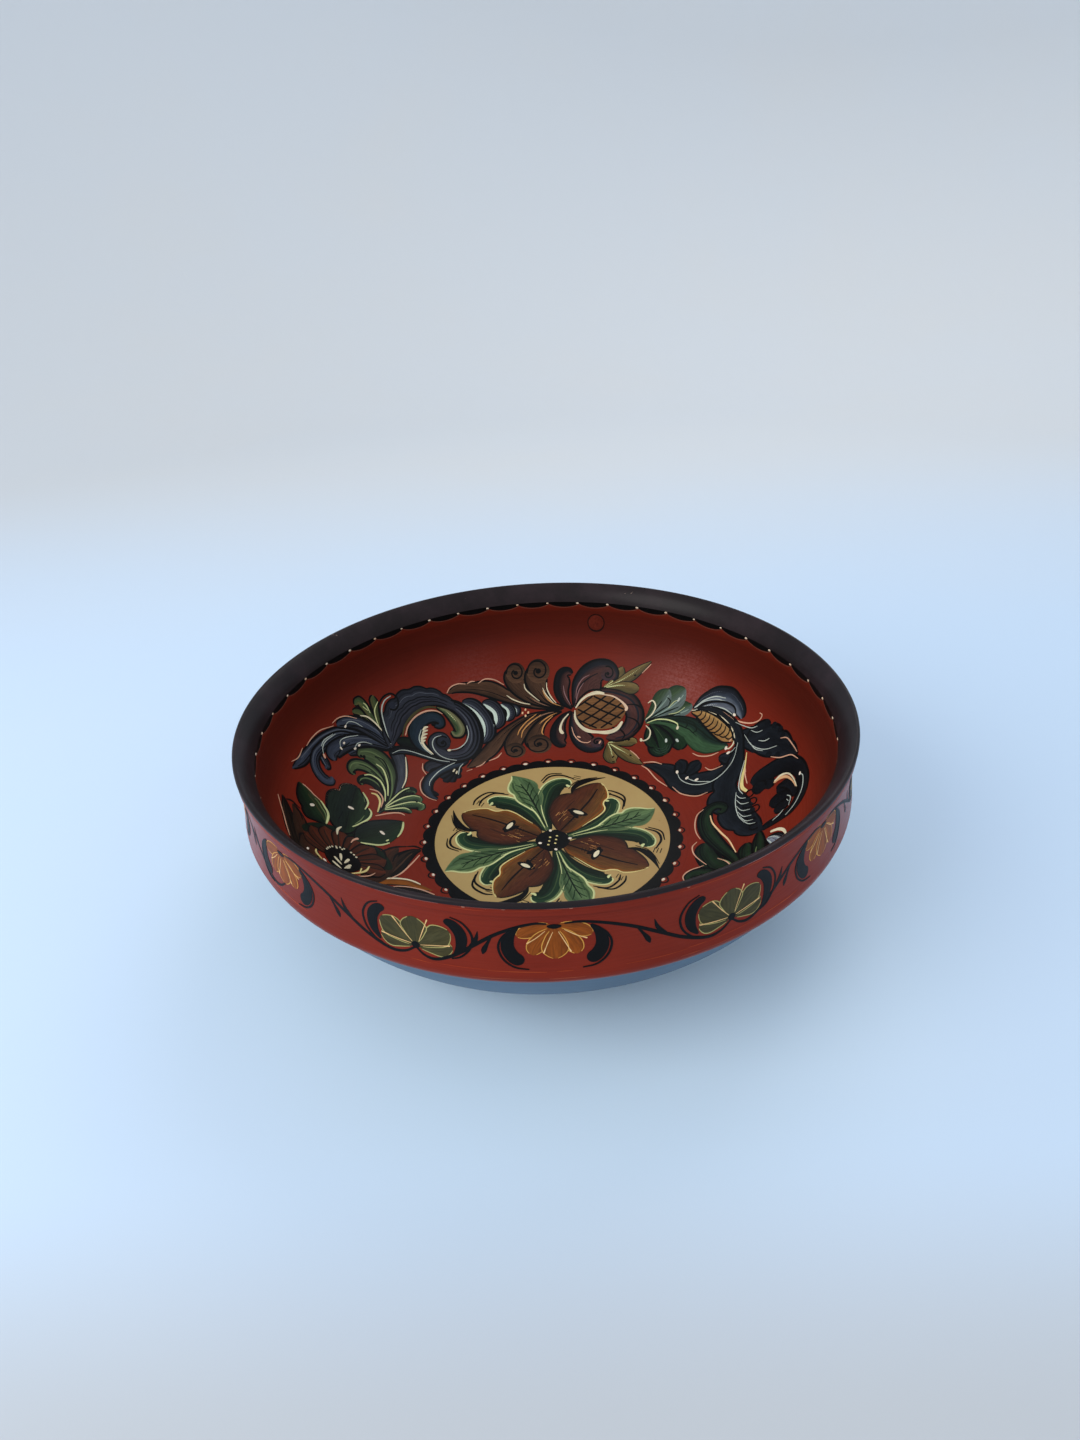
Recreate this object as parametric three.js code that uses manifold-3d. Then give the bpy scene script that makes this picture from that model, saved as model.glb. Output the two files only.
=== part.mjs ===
// A turned wooden bowl with a beaded band round its side, and the dowel that fills its hanging hole.
// Millimetres, +Z up, origin at the centre of the foot's underside, front towards -Y.
import * as THREE from "three";
import { mergeVertices } from "three/addons/utils/BufferGeometryUtils.js";
import Module from "manifold-3d";

const wasm = await Module();
wasm.setup();

// Inside of the bowl
const MOUTH_RADIUS = 144; // where the dark lip ends and the red wall begins
const FLOOR_RADIUS = 66; // flat floor under the medallion
const FLOOR_DEPTH = 88; // lip top to floor
const WALL = 10; // thickness of the wall and of the floor above the foot

// Lip
const LIP_WIDTH = 8.5; // outer face of the lip to the mouth, measured across
const LIP_DROP = 10.4; // top of the lip down to the mouth
const LIP_FACE = 5.4; // upright outer face of the lip
const LIP_ROUND = 1.3; // rounding of the lip's top corner
const LIP_CROWN = 0.9; // how far the lip's inner slope bulges

// Band round the outside
const BAND_INSET = 1.2; // lip's overhang over the band
const BAND_HOLLOW = 0.6; // depth of the band's shallow hollow
const BAND_DROP = 40.5; // top of the lip down to the band's lower edge
const RIDGE_STEP = 2.7; // band's lower edge out from the underside
const BELLY_SWELL = 2.1; // swelling above that edge
const BELLY_RISE = 6.5; // height of the fullest part above that edge

// Foot
const FOOT_RADIUS = 62;
const FOOT_WIDTH = 9;
const FOOT_HEIGHT = 4;
const FOOT_RECESS = 2.2; // depth of the hollow inside the foot ring

// Dowel that fills the hanging hole, through the wall behind the band
const PLUG_RADIUS = 5.3;
const PLUG_GAP = 0.3; // glue line round the dowel
const PLUG_DROP = 24; // top of the lip down to the dowel's centre
const PLUG_ANGLE = 75; // degrees round from +X towards the back

const WOOD_SEGMENTS = 72;
const PLUG_SEGMENTS = 32;

const HEIGHT = FLOOR_DEPTH + WALL + FOOT_HEIGHT;
const FLOOR_Z = HEIGHT - FLOOR_DEPTH;
const MOUTH_Z = HEIGHT - LIP_DROP;
const LIP_RADIUS = MOUTH_RADIUS + LIP_WIDTH;
const BAND_Z = HEIGHT - BAND_DROP;
const HOLLOW = { across: MOUTH_RADIUS - FLOOR_RADIUS, down: MOUTH_Z - FLOOR_Z };

const point = (r, z) => new THREE.Vector2(r, z);
const radians = THREE.MathUtils.degToRad;

// Radius of the curved wall at a height, offset outwards by a thickness.
function wallRadius(z, thickness) {
  const fall = (MOUTH_Z - z) / (HOLLOW.down + thickness);
  return FLOOR_RADIUS + (HOLLOW.across + thickness) * Math.sqrt(1 - fall * fall);
}

// Quarter-ellipse wall, from one angle below the mouth to another, offset outwards by a thickness.
function wallArc(thickness, from, to, steps) {
  return Array.from({ length: steps + 1 }, (_, i) => {
    const a = from + ((to - from) * i) / steps;
    const r = FLOOR_RADIUS + (HOLLOW.across + thickness) * Math.cos(a);
    return point(r, MOUTH_Z - (HOLLOW.down + thickness) * Math.sin(a));
  });
}

// Points of a straight run with a bulge to the left of its direction, ends left out.
function bulgedRun(start, end, bulge, steps) {
  const along = end.clone().sub(start);
  const aside = point(-along.y, along.x).normalize();
  return Array.from({ length: steps - 1 }, (_, i) => {
    const t = (i + 1) / steps;
    const out = 4 * bulge * t * (1 - t);
    return start.clone().addScaledVector(along, t).addScaledVector(aside, out);
  });
}

// Rounded corner between two angles about a centre.
function corner(centre, radius, from, to, steps) {
  return Array.from({ length: steps + 1 }, (_, i) => {
    const a = from + ((to - from) * i) / steps;
    return point(centre.x + radius * Math.cos(a), centre.y + radius * Math.sin(a));
  });
}

function innerProfile() {
  const wall = wallArc(0, Math.PI / 2, 0, 12);
  const crest = point(LIP_RADIUS - LIP_ROUND, HEIGHT - LIP_ROUND);
  const top = corner(crest, LIP_ROUND, radians(135), 0, 3);
  const slope = bulgedRun(wall.at(-1), top[0], LIP_CROWN, 4);
  return [point(0, FLOOR_Z), ...wall, ...slope, ...top];
}

function outerProfile() {
  const underside = wallRadius(BAND_Z, WALL);
  const edge = point(underside + RIDGE_STEP, BAND_Z);
  const belly = point(edge.x + BELLY_SWELL, BAND_Z + BELLY_RISE);
  const lipFoot = point(LIP_RADIUS, HEIGHT - LIP_FACE);
  const bandTop = point(LIP_RADIUS - BAND_INSET, HEIGHT - LIP_FACE - BAND_INSET / 2);
  const hollow = bulgedRun(bandTop, belly, -BAND_HOLLOW, 6);
  const tuck = bulgedRun(belly, edge, BELLY_SWELL / 2, 3);
  const start = Math.asin((MOUTH_Z - BAND_Z) / (HOLLOW.down + WALL));
  const keel = Math.acos((FOOT_RADIUS - FLOOR_RADIUS) / (HOLLOW.across + WALL));
  const below = wallArc(WALL, start, Math.min(keel, Math.PI / 2), 10);
  return [lipFoot, bandTop, ...hollow, belly, ...tuck, edge, ...below, ...footProfile()];
}

function footProfile() {
  const inside = FOOT_RADIUS - FOOT_WIDTH;
  return [
    point(FOOT_RADIUS, FOOT_HEIGHT),
    point(FOOT_RADIUS - FOOT_HEIGHT / 4, 0),
    point(inside, 0),
    point(inside - FOOT_RECESS / 2, FOOT_RECESS),
    point(0, FOOT_RECESS),
  ];
}

// The profile runs from the floor's centre over the lip to the foot, so reversing it faces the wood outwards.
function turnedWood() {
  const profile = [...innerProfile(), ...outerProfile()].reverse();
  const wood = new THREE.LatheGeometry(profile, WOOD_SEGMENTS);
  return wood.rotateX(Math.PI / 2);
}

// Radial cylinder through the wall, at the dowel's place.
function dowelCylinder(radius) {
  const length = 4 * WALL;
  const cylinder = new THREE.CylinderGeometry(radius, radius, length, PLUG_SEGMENTS);
  cylinder.rotateZ(-Math.PI / 2);
  cylinder.translate(MOUTH_RADIUS + WALL / 2, 0, HEIGHT - PLUG_DROP);
  return cylinder.rotateZ(radians(PLUG_ANGLE));
}

function solid(geometry) {
  const bare = geometry.index ? geometry.toNonIndexed() : geometry.clone();
  bare.deleteAttribute("normal");
  bare.deleteAttribute("uv");
  const merged = mergeVertices(bare, 1e-3);
  return new wasm.Manifold(
    new wasm.Mesh({
      numProp: 3,
      vertProperties: merged.attributes.position.array,
      triVerts: new Uint32Array(merged.index.array),
    }),
  );
}

function geometryOf(manifold) {
  const { vertProperties, triVerts } = manifold.getMesh();
  const geometry = new THREE.BufferGeometry();
  geometry.setAttribute("position", new THREE.BufferAttribute(vertProperties, 3));
  geometry.setIndex(new THREE.BufferAttribute(triVerts, 1));
  geometry.computeVertexNormals();
  return geometry;
}

function paintedWood(color, roughness) {
  return new THREE.MeshStandardMaterial({ color, roughness, metalness: 0 });
}

function piece(name, manifold, material) {
  const mesh = new THREE.Mesh(geometryOf(manifold), material);
  mesh.name = name;
  return mesh;
}

const wood = solid(turnedWood());
const hole = solid(dowelCylinder(PLUG_RADIUS));
const dowel = solid(dowelCylinder(PLUG_RADIUS - PLUG_GAP));

const bowl = new THREE.Group();
bowl.add(piece("bowl_body", wood.subtract(hole), paintedWood("#7d2b1e", 0.45)));
bowl.add(piece("hanging_hole_plug", wood.intersect(dowel), paintedWood("#6f2318", 0.5)));

export default bowl;
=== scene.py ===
# A turned wooden bowl painted with scrolls and flowers, dressed over its CAD frame.
# Drawings are in millimetres and meshes in metres, +Z up, front towards -Y.
import math
from types import SimpleNamespace

import bmesh
import bpy
import numpy as np
from mathutils import Matrix, Vector


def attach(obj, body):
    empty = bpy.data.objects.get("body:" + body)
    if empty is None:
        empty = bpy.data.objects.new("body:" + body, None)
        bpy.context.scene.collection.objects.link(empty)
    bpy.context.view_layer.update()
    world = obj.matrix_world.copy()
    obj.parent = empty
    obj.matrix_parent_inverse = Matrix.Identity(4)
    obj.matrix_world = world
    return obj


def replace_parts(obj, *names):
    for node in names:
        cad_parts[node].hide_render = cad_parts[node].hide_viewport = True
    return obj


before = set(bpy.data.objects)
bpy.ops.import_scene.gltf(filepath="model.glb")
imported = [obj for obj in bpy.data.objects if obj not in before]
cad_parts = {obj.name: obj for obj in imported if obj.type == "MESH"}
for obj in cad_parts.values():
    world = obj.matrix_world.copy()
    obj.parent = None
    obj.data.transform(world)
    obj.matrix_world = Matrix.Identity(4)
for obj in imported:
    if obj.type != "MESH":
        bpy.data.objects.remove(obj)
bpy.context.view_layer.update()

MM = 0.001

# Turned form, the same sizes as the CAD
MOUTH_RADIUS = 144.0
FLOOR_RADIUS = 66.0
FLOOR_DEPTH = 88.0
WALL = 10.0
LIP_WIDTH = 8.5
LIP_DROP = 10.4
LIP_FACE = 5.4
LIP_ROUND = 1.3
LIP_CROWN = 0.9
UMBER_DROP = 1.7
BAND_INSET = 1.2
BAND_HOLLOW = 0.6
BAND_DROP = 40.5
RIDGE_STEP = 2.7
BELLY_SWELL = 2.1
BELLY_RISE = 6.5
FOOT_RADIUS = 62.0
FOOT_WIDTH = 9.0
FOOT_HEIGHT = 4.0
FOOT_RECESS = 2.2
PLUG_RADIUS = 5.0
PLUG_DROP = 24.0
PLUG_ANGLE = 75.0
PLUG_PROUD = 0.4
PLUG_DEEP = 7.0

HEIGHT = FLOOR_DEPTH + WALL + FOOT_HEIGHT
FLOOR_Z = HEIGHT - FLOOR_DEPTH
MOUTH_Z = HEIGHT - LIP_DROP
LIP_RADIUS = MOUTH_RADIUS + LIP_WIDTH
BAND_Z = HEIGHT - BAND_DROP
ACROSS = MOUTH_RADIUS - FLOOR_RADIUS
DOWN = MOUTH_Z - FLOOR_Z
WALL_CURVE = (ACROSS + DOWN) / 2

# The wood lies this far inside the CAD surface, and the paint fills the space.
FILM = 0.25
SKIN = FILM + 0.1
ROUND_STEPS = 480
SAME_POINT = 0.002
SHARP_TURNED = math.radians(34)
SHARP_STROKE = math.radians(50)

# Brush strokes: rows this far apart, a shell that reaches under the wood, and heights over it
ROW_STEP = 0.8
PATH_STEP = 0.35
UNDER = 0.04
LEVEL_STEP = 0.016
LINER_LIFT = 0.012
FINE_LIFT = 0.02
DAB_LIFT = 0.03


def paint(red, green, blue):
    """Linear colour from the usual 0 to 255 values."""
    shares = [v / 255 for v in (red, green, blue)]
    return tuple(v / 12.92 if v <= 0.04045 else ((v + 0.055) / 1.055) ** 2.4 for v in shares)


RED = paint(130, 40, 23)
UMBER = paint(27, 22, 24)
SLATE = paint(98, 122, 144)
CREAM = paint(190, 163, 106)
BLACK = paint(7, 8, 10)
WHITE = paint(240, 226, 205)


class Wire:
    """An output socket with arithmetic, and one method that adds any node to its tree."""

    def __init__(self, tree, socket=None):
        self.tree = tree
        self.socket = socket

    def node(self, kind, settings=None, inputs=None, output=0):
        made = self.tree.nodes.new(kind)
        for name, value in (settings or {}).items():
            if name == "stops":
                ramp = made.color_ramp
                while len(ramp.elements) < len(value):
                    ramp.elements.new(1)
                for element, (place, colour) in zip(ramp.elements, value):
                    element.position = place
                    element.color = (*colour, 1)
            else:
                setattr(made, name, value)
        for key, value in (inputs or {}).items():
            if isinstance(value, Wire):
                self.tree.links.new(value.socket, made.inputs[key])
            else:
                made.inputs[key].default_value = value
        return Wire(self.tree, made.outputs[output])

    def math(self, operation, *values):
        return self.node("ShaderNodeMath", {"operation": operation}, dict(enumerate(values)))

    def __add__(self, other):
        return self.math("ADD", self, other)

    def __sub__(self, other):
        return self.math("SUBTRACT", self, other)

    def __rsub__(self, other):
        return self.math("SUBTRACT", other, self)

    def __mul__(self, other):
        return self.math("MULTIPLY", self, other)

    def __truediv__(self, other):
        return self.math("DIVIDE", self, other)

    __radd__ = __add__
    __rmul__ = __mul__

    def between(self, low, high):
        """0 below low, 1 above high, smooth between."""
        settings = {"interpolation_type": "SMOOTHSTEP"}
        return self.node("ShaderNodeMapRange", settings, {0: self, 1: low, 2: high})

    def tint(self, one, other):
        """Colour one where this is 0, and the other where it is 1."""
        one, other = [c if isinstance(c, Wire) else (*c, 1) for c in (one, other)]
        return self.node("ShaderNodeMix", {"data_type": "RGBA"}, {0: self, 6: one, 7: other}, 2)

    def noise(self, vector, scale, detail=3.0, roughness=0.55):
        inputs = {"Vector": vector, "Scale": scale, "Detail": detail, "Roughness": roughness}
        return self.node("ShaderNodeTexNoise", {}, inputs)


def finish_of(name, look, roughness=0.45, coat=0.04):
    """Material whose look(start) gives colour, roughness and bump height from a first wire.
    The coat is one number, or a function that gives it over the surface."""
    material = bpy.data.materials.new(name)
    material.use_nodes = True
    tree = material.node_tree
    shader = tree.nodes["Principled BSDF"]
    shader.inputs["Roughness"].default_value = roughness
    shader.inputs["Coat Roughness"].default_value = 0.25
    shader.inputs["Specular IOR Level"].default_value = 0.09
    start = Wire(tree)
    if callable(coat):
        tree.links.new(coat(start).socket, shader.inputs["Coat Weight"])
    else:
        shader.inputs["Coat Weight"].default_value = coat
    colour, dull, height, depth = look(start)
    tree.links.new(colour.socket, shader.inputs["Base Color"])
    tree.links.new(dull.socket, shader.inputs["Roughness"])
    bump = start.node("ShaderNodeBump", {}, {"Strength": 0.5, "Distance": depth * MM, "Height": height})
    tree.links.new(bump.socket, shader.inputs["Normal"])
    return material


def object_place(start):
    """Object coordinates of a surface."""
    return start.node("ShaderNodeTexCoord", {}, {}, 3)


def parts_of(place):
    """A place's x, y and z, and its distance from the axis."""
    split = place.node("ShaderNodeSeparateXYZ", {}, {0: place}).socket.node
    x, y, z = [Wire(place.tree, socket) for socket in split.outputs]
    square = x * x + y * y
    return x, y, z, square.math("SQRT", square)


def turned_place(start):
    """Place, radius and height of a turned surface, and rings, which stretch a pattern round it."""
    place = object_place(start)
    x, y, z, radius = parts_of(place)
    angle = y.math("ARCTAN2", y, x)
    rings = start.node("ShaderNodeCombineXYZ", {}, {0: radius * 6, 1: angle * 0.02, 2: z * 6})
    return SimpleNamespace(place=place, radius=radius, z=z, rings=rings)


# Turned profiles, as rows of radius and height

def wall_arc(thickness, start, end, steps):
    a = np.linspace(start, end, steps + 1)
    across, down = ACROSS + thickness, DOWN + thickness
    return np.stack([FLOOR_RADIUS + across * np.cos(a), MOUTH_Z - down * np.sin(a)], 1)


def bulged_run(start, end, bulge, steps):
    """Points from start to end with a bulge to the left, both ends kept."""
    t = np.linspace(0, 1, steps + 1)[:, None]
    along = np.subtract(end, start)
    aside = np.array([-along[1], along[0]]) / np.hypot(*along)
    return start + along * t + aside * 4 * bulge * t * (1 - t)


def corner(centre, radius, start, end, steps):
    a = np.radians(np.linspace(start, end, steps + 1))
    return np.add(centre, radius * np.stack([np.cos(a), np.sin(a)], 1))


def wall_radius(z, thickness):
    fall = (MOUTH_Z - z) / (DOWN + thickness)
    return FLOOR_RADIUS + (ACROSS + thickness) * math.sqrt(1 - fall * fall)


INNER = wall_arc(0, math.pi / 2, 0, 44)
FLOOR = np.stack([np.linspace(0, FLOOR_RADIUS, 12), np.full(12, FLOOR_Z)], 1)
LIP_CREST = (LIP_RADIUS - LIP_ROUND, HEIGHT - LIP_ROUND)
LIP_TOP = corner(LIP_CREST, LIP_ROUND, 135, 0, 7)
LIP_SLOPE = bulged_run(INNER[-1], LIP_TOP[0], LIP_CROWN, 8)
LIP_FOOT = (LIP_RADIUS, HEIGHT - LIP_FACE)
BAND_TOP = (LIP_RADIUS - BAND_INSET, HEIGHT - LIP_FACE - BAND_INSET / 2)
EDGE = (wall_radius(BAND_Z, WALL) + RIDGE_STEP, BAND_Z)
BELLY = (EDGE[0] + BELLY_SWELL, BAND_Z + BELLY_RISE)
BAND = bulged_run(BAND_TOP, BELLY, -BAND_HOLLOW, 14)
TUCK = bulged_run(BELLY, EDGE, BELLY_SWELL / 2, 8)
KEEL = min(math.acos((FOOT_RADIUS - FLOOR_RADIUS) / (ACROSS + WALL)), math.pi / 2)
UNDERSIDE = wall_arc(WALL, math.asin((MOUTH_Z - BAND_Z) / (DOWN + WALL)), KEEL, 30)
FOOT_INSIDE = FOOT_RADIUS - FOOT_WIDTH
FOOT = [(FOOT_RADIUS, FOOT_HEIGHT), (FOOT_RADIUS - FOOT_HEIGHT / 4, 0), (FOOT_INSIDE, 0)]
RECESS = [(FOOT_INSIDE - FOOT_RECESS / 2, FOOT_RECESS), (0, FOOT_RECESS)]


def joined(*runs):
    """One profile from several runs, without doubled points."""
    points = np.concatenate([np.atleast_2d(run) for run in runs])
    apart = np.hypot(*np.diff(points, axis=0).T) > 1e-6
    return points[np.concatenate([[True], apart])]


def sunk(profile, depth):
    """The profile moved into the wood, which lies on its right."""
    along = np.gradient(profile, axis=0)
    aside = np.stack([along[:, 1], -along[:, 0]], 1) / np.hypot(*along.T)[:, None]
    moved = profile + aside * depth
    moved[profile[:, 0] == 0, 0] = 0
    return moved


def revolve_tree(material, steps):
    """Turns a profile about the axis: each profile edge becomes a ring of faces."""
    tree = bpy.data.node_groups.new("turn_profile", "GeometryNodeTree")
    tree.interface.new_socket("Profile", in_out="INPUT", socket_type="NodeSocketGeometry")
    count = tree.interface.new_socket("Steps round", in_out="INPUT", socket_type="NodeSocketInt")
    tree.interface.new_socket("Turned", in_out="OUTPUT", socket_type="NodeSocketGeometry")
    source = tree.nodes.new("NodeGroupInput")
    start = Wire(tree)
    profile, number = Wire(tree, source.outputs[0]), Wire(tree, source.outputs[1])
    curve = start.node("GeometryNodeMeshToCurve", {}, {0: profile})
    round_path = {"Resolution": number, "Radius": LIP_RADIUS * MM}
    path = start.node("GeometryNodeCurvePrimitiveCircle", {"mode": "RADIUS"}, round_path)
    body = start.node("GeometryNodeCurveToMesh", {}, {"Curve": path, "Profile Curve": curve})
    merged = start.node("GeometryNodeMergeByDistance", {}, {"Geometry": body, "Distance": 1e-6})
    real = start.node("GeometryNodeRealizeInstances", {}, {0: merged})
    done = start.node("GeometryNodeSetMaterial", {}, {"Geometry": real, "Material": material})
    sink = tree.nodes.new("NodeGroupOutput")
    tree.links.new(done.socket, sink.inputs[0])
    return tree, {count.identifier: steps}


def grown(name, source, tree, values):
    """Plain mesh piece made by a node tree from a source mesh."""
    seed = bpy.data.objects.new(name + "_seed", source)
    bpy.context.collection.objects.link(seed)
    modifier = seed.modifiers.new("growth", "NODES")
    modifier.node_group = tree
    for identifier, value in values.items():
        modifier[identifier] = value
    bpy.context.view_layer.update()
    shown = seed.evaluated_get(bpy.context.evaluated_depsgraph_get())
    mesh = bpy.data.meshes.new_from_object(shown)
    bpy.data.objects.remove(seed)
    return settled(name, mesh)


def settled(name, mesh):
    """Piece on the bowl's body, at the origin."""
    mesh.name = name
    piece = bpy.data.objects.new(name, mesh)
    bpy.context.collection.objects.link(piece)
    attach(piece, "root")
    return piece


def turned(name, profile, material):
    """Solid of revolution from a closed or axis-to-axis profile."""
    points = [((r - LIP_RADIUS) * MM, -z * MM, 0) for r, z in profile]
    edges = [(i, i + 1) for i in range(len(points) - 1)]
    if profile[0][0] > 0:
        edges.append((len(points) - 1, 0))
    source = bpy.data.meshes.new(name)
    source.from_pydata(points, edges, [])
    tree, values = revolve_tree(material, ROUND_STEPS)
    piece = grown(name, source, tree, values)
    outwards(piece.data)
    return piece


def outwards(mesh):
    """Turns all faces of a closed mesh outwards, smooth but for sharp corners."""
    work = bmesh.new()
    work.from_mesh(mesh)
    bmesh.ops.remove_doubles(work, verts=work.verts, dist=SAME_POINT * MM)
    bmesh.ops.dissolve_degenerate(work, edges=work.edges, dist=SAME_POINT / 2 * MM)
    bmesh.ops.recalc_face_normals(work, faces=work.faces)
    work.to_mesh(mesh)
    work.free()
    mesh.shade_smooth()
    mesh.set_sharp_from_angle(angle=SHARP_TURNED)


# Painting surfaces: flat millimetres to points and normals on the wood

def inside(xy):
    """The bowl's inside unrolled from its centre: distances from the middle follow the surface."""
    reach = np.hypot(xy[..., 0], xy[..., 1])
    turn = np.arctan2(xy[..., 1], xy[..., 0])
    climb = np.clip((reach - FLOOR_RADIUS) / WALL_CURVE, 0, math.pi / 2)
    radius = np.where(reach < FLOOR_RADIUS, reach, FLOOR_RADIUS + ACROSS * np.sin(climb))
    height = MOUTH_Z - DOWN * np.cos(climb)
    return on_turning(radius, height, turn, -np.sin(climb), np.cos(climb))


def band(xy):
    """The band unrolled: x runs to the right from the front, y is the height."""
    run = joined(BAND, TUCK)[::-1]
    radius = np.interp(xy[..., 1], run[:, 1], run[:, 0])
    lean = np.interp(xy[..., 1] + 1, run[:, 1], run[:, 0]) - radius
    size = np.hypot(1, lean)
    return on_turning(radius, xy[..., 1], xy[..., 0] / LIP_RADIUS - math.pi / 2, 1 / size, -lean / size)


def on_turning(radius, height, turn, out, up):
    """Points on the wood at a turn round the axis, and normals that lean out and up."""
    spot = np.stack([radius * np.cos(turn), radius * np.sin(turn), height], -1)
    normal = np.stack([out * np.cos(turn), out * np.sin(turn), up], -1)
    return spot - normal * FILM, normal


def smooth_path(points):
    """Rows of x, y and widths, smoothed into a dense path."""
    p = np.array(points, float)
    if len(p) > 2:
        p = np.vstack([2 * p[0] - p[1], p, 2 * p[-1] - p[-2]])
        runs = []
        for a, b, c, d in zip(p, p[1:], p[2:], p[3:]):
            t = np.arange(0, 1, PATH_STEP / max(np.hypot(*(c - b)[:2]), PATH_STEP))[:, None]
            bend = (2 * a - 5 * b + 4 * c - d) * t ** 2 + (3 * b - a - 3 * c + d) * t ** 3
            runs.append(b + 0.5 * ((c - a) * t + bend))
        p = np.vstack(runs + [p[-2:-1]])
    length = np.concatenate([[0], np.cumsum(np.hypot(*np.diff(p[:, :2], axis=0).T))])
    return p, length


def lobed(share, lobes):
    """Share of the full width where an edge has rounded lobes with notches between."""
    if not lobes:
        return 1.0
    count, depth = lobes
    return 1 - depth * (1 - np.abs(np.sin(math.pi * count * share)) ** 0.6)


class Pot:
    """One paint. Its strokes gather here and are poured out as one mesh piece."""

    def __init__(self, name, slot, material):
        self.name, self.slot, self.material = name, slot, material
        self.empty()

    def empty(self):
        self.points, self.faces, self.colours, self.marks = [], [], [], []
        self.count = 0

    def film(self, top, under, colours, marks, closed=False):
        """Closed thin shell between two grids of points, rows along and columns to the left."""
        rows, columns = top.shape[:2]
        upper = self.count + np.arange(rows * columns).reshape(rows, columns)
        lower = upper + rows * columns
        if closed:
            upper, lower = np.vstack([upper, upper[:1]]), np.vstack([lower, lower[:1]])

        def faces(*corners):
            return np.stack([c.ravel() for c in corners], 1)

        made = [
            faces(upper[:-1, :-1], upper[1:, :-1], upper[1:, 1:], upper[:-1, 1:]),
            faces(lower[:-1, :-1], lower[:-1, 1:], lower[1:, 1:], lower[1:, :-1]),
            faces(upper[:-1, 0], lower[:-1, 0], lower[1:, 0], upper[1:, 0]),
            faces(upper[:-1, -1], upper[1:, -1], lower[1:, -1], lower[:-1, -1])]
        if not closed:
            made.append(faces(upper[0, :-1], upper[0, 1:], lower[0, 1:], lower[0, :-1]))
            made.append(faces(upper[-1, :-1], lower[-1, :-1], lower[-1, 1:], upper[-1, 1:]))
        self.points += [top.reshape(-1, 3), under.reshape(-1, 3)]
        self.faces += made
        self.colours += [colours.reshape(-1, 3)] * 2
        self.marks += [marks.reshape(-1, 2)] * 2
        self.count += 2 * rows * columns

    def pour(self, name=None):
        """Makes one piece of the strokes so far, and leaves the pot empty."""
        name = name or self.name
        mesh = bpy.data.meshes.new(name)
        faces = np.concatenate(self.faces)
        mesh.from_pydata(np.concatenate(self.points) * MM, [], faces.tolist())
        colours = np.concatenate(self.colours)
        colours = np.hstack([colours, np.ones((len(colours), 1))]).astype(np.float32)
        attribute = mesh.attributes.new("pigment", "FLOAT_COLOR", "POINT")
        attribute.data.foreach_set("color", colours.ravel())
        layer = mesh.uv_layers.new(name="stroke")
        marks = np.concatenate(self.marks).astype(np.float32)
        layer.data.foreach_set("uv", marks[faces.ravel()].ravel())
        mesh.materials.append(self.material)
        mesh.shade_smooth()
        mesh.set_sharp_from_angle(angle=SHARP_STROKE)
        self.empty()
        return settled(name, mesh)


def spread(colours, across):
    """Colours from left to right, blended at places 0 to 1 across."""
    stops = np.linspace(0, 1, len(colours))
    rows = np.array(colours, float)
    return np.stack([np.interp(across, stops, rows[:, i]) for i in range(3)], -1)


chance = np.random.default_rng(7)


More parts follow.
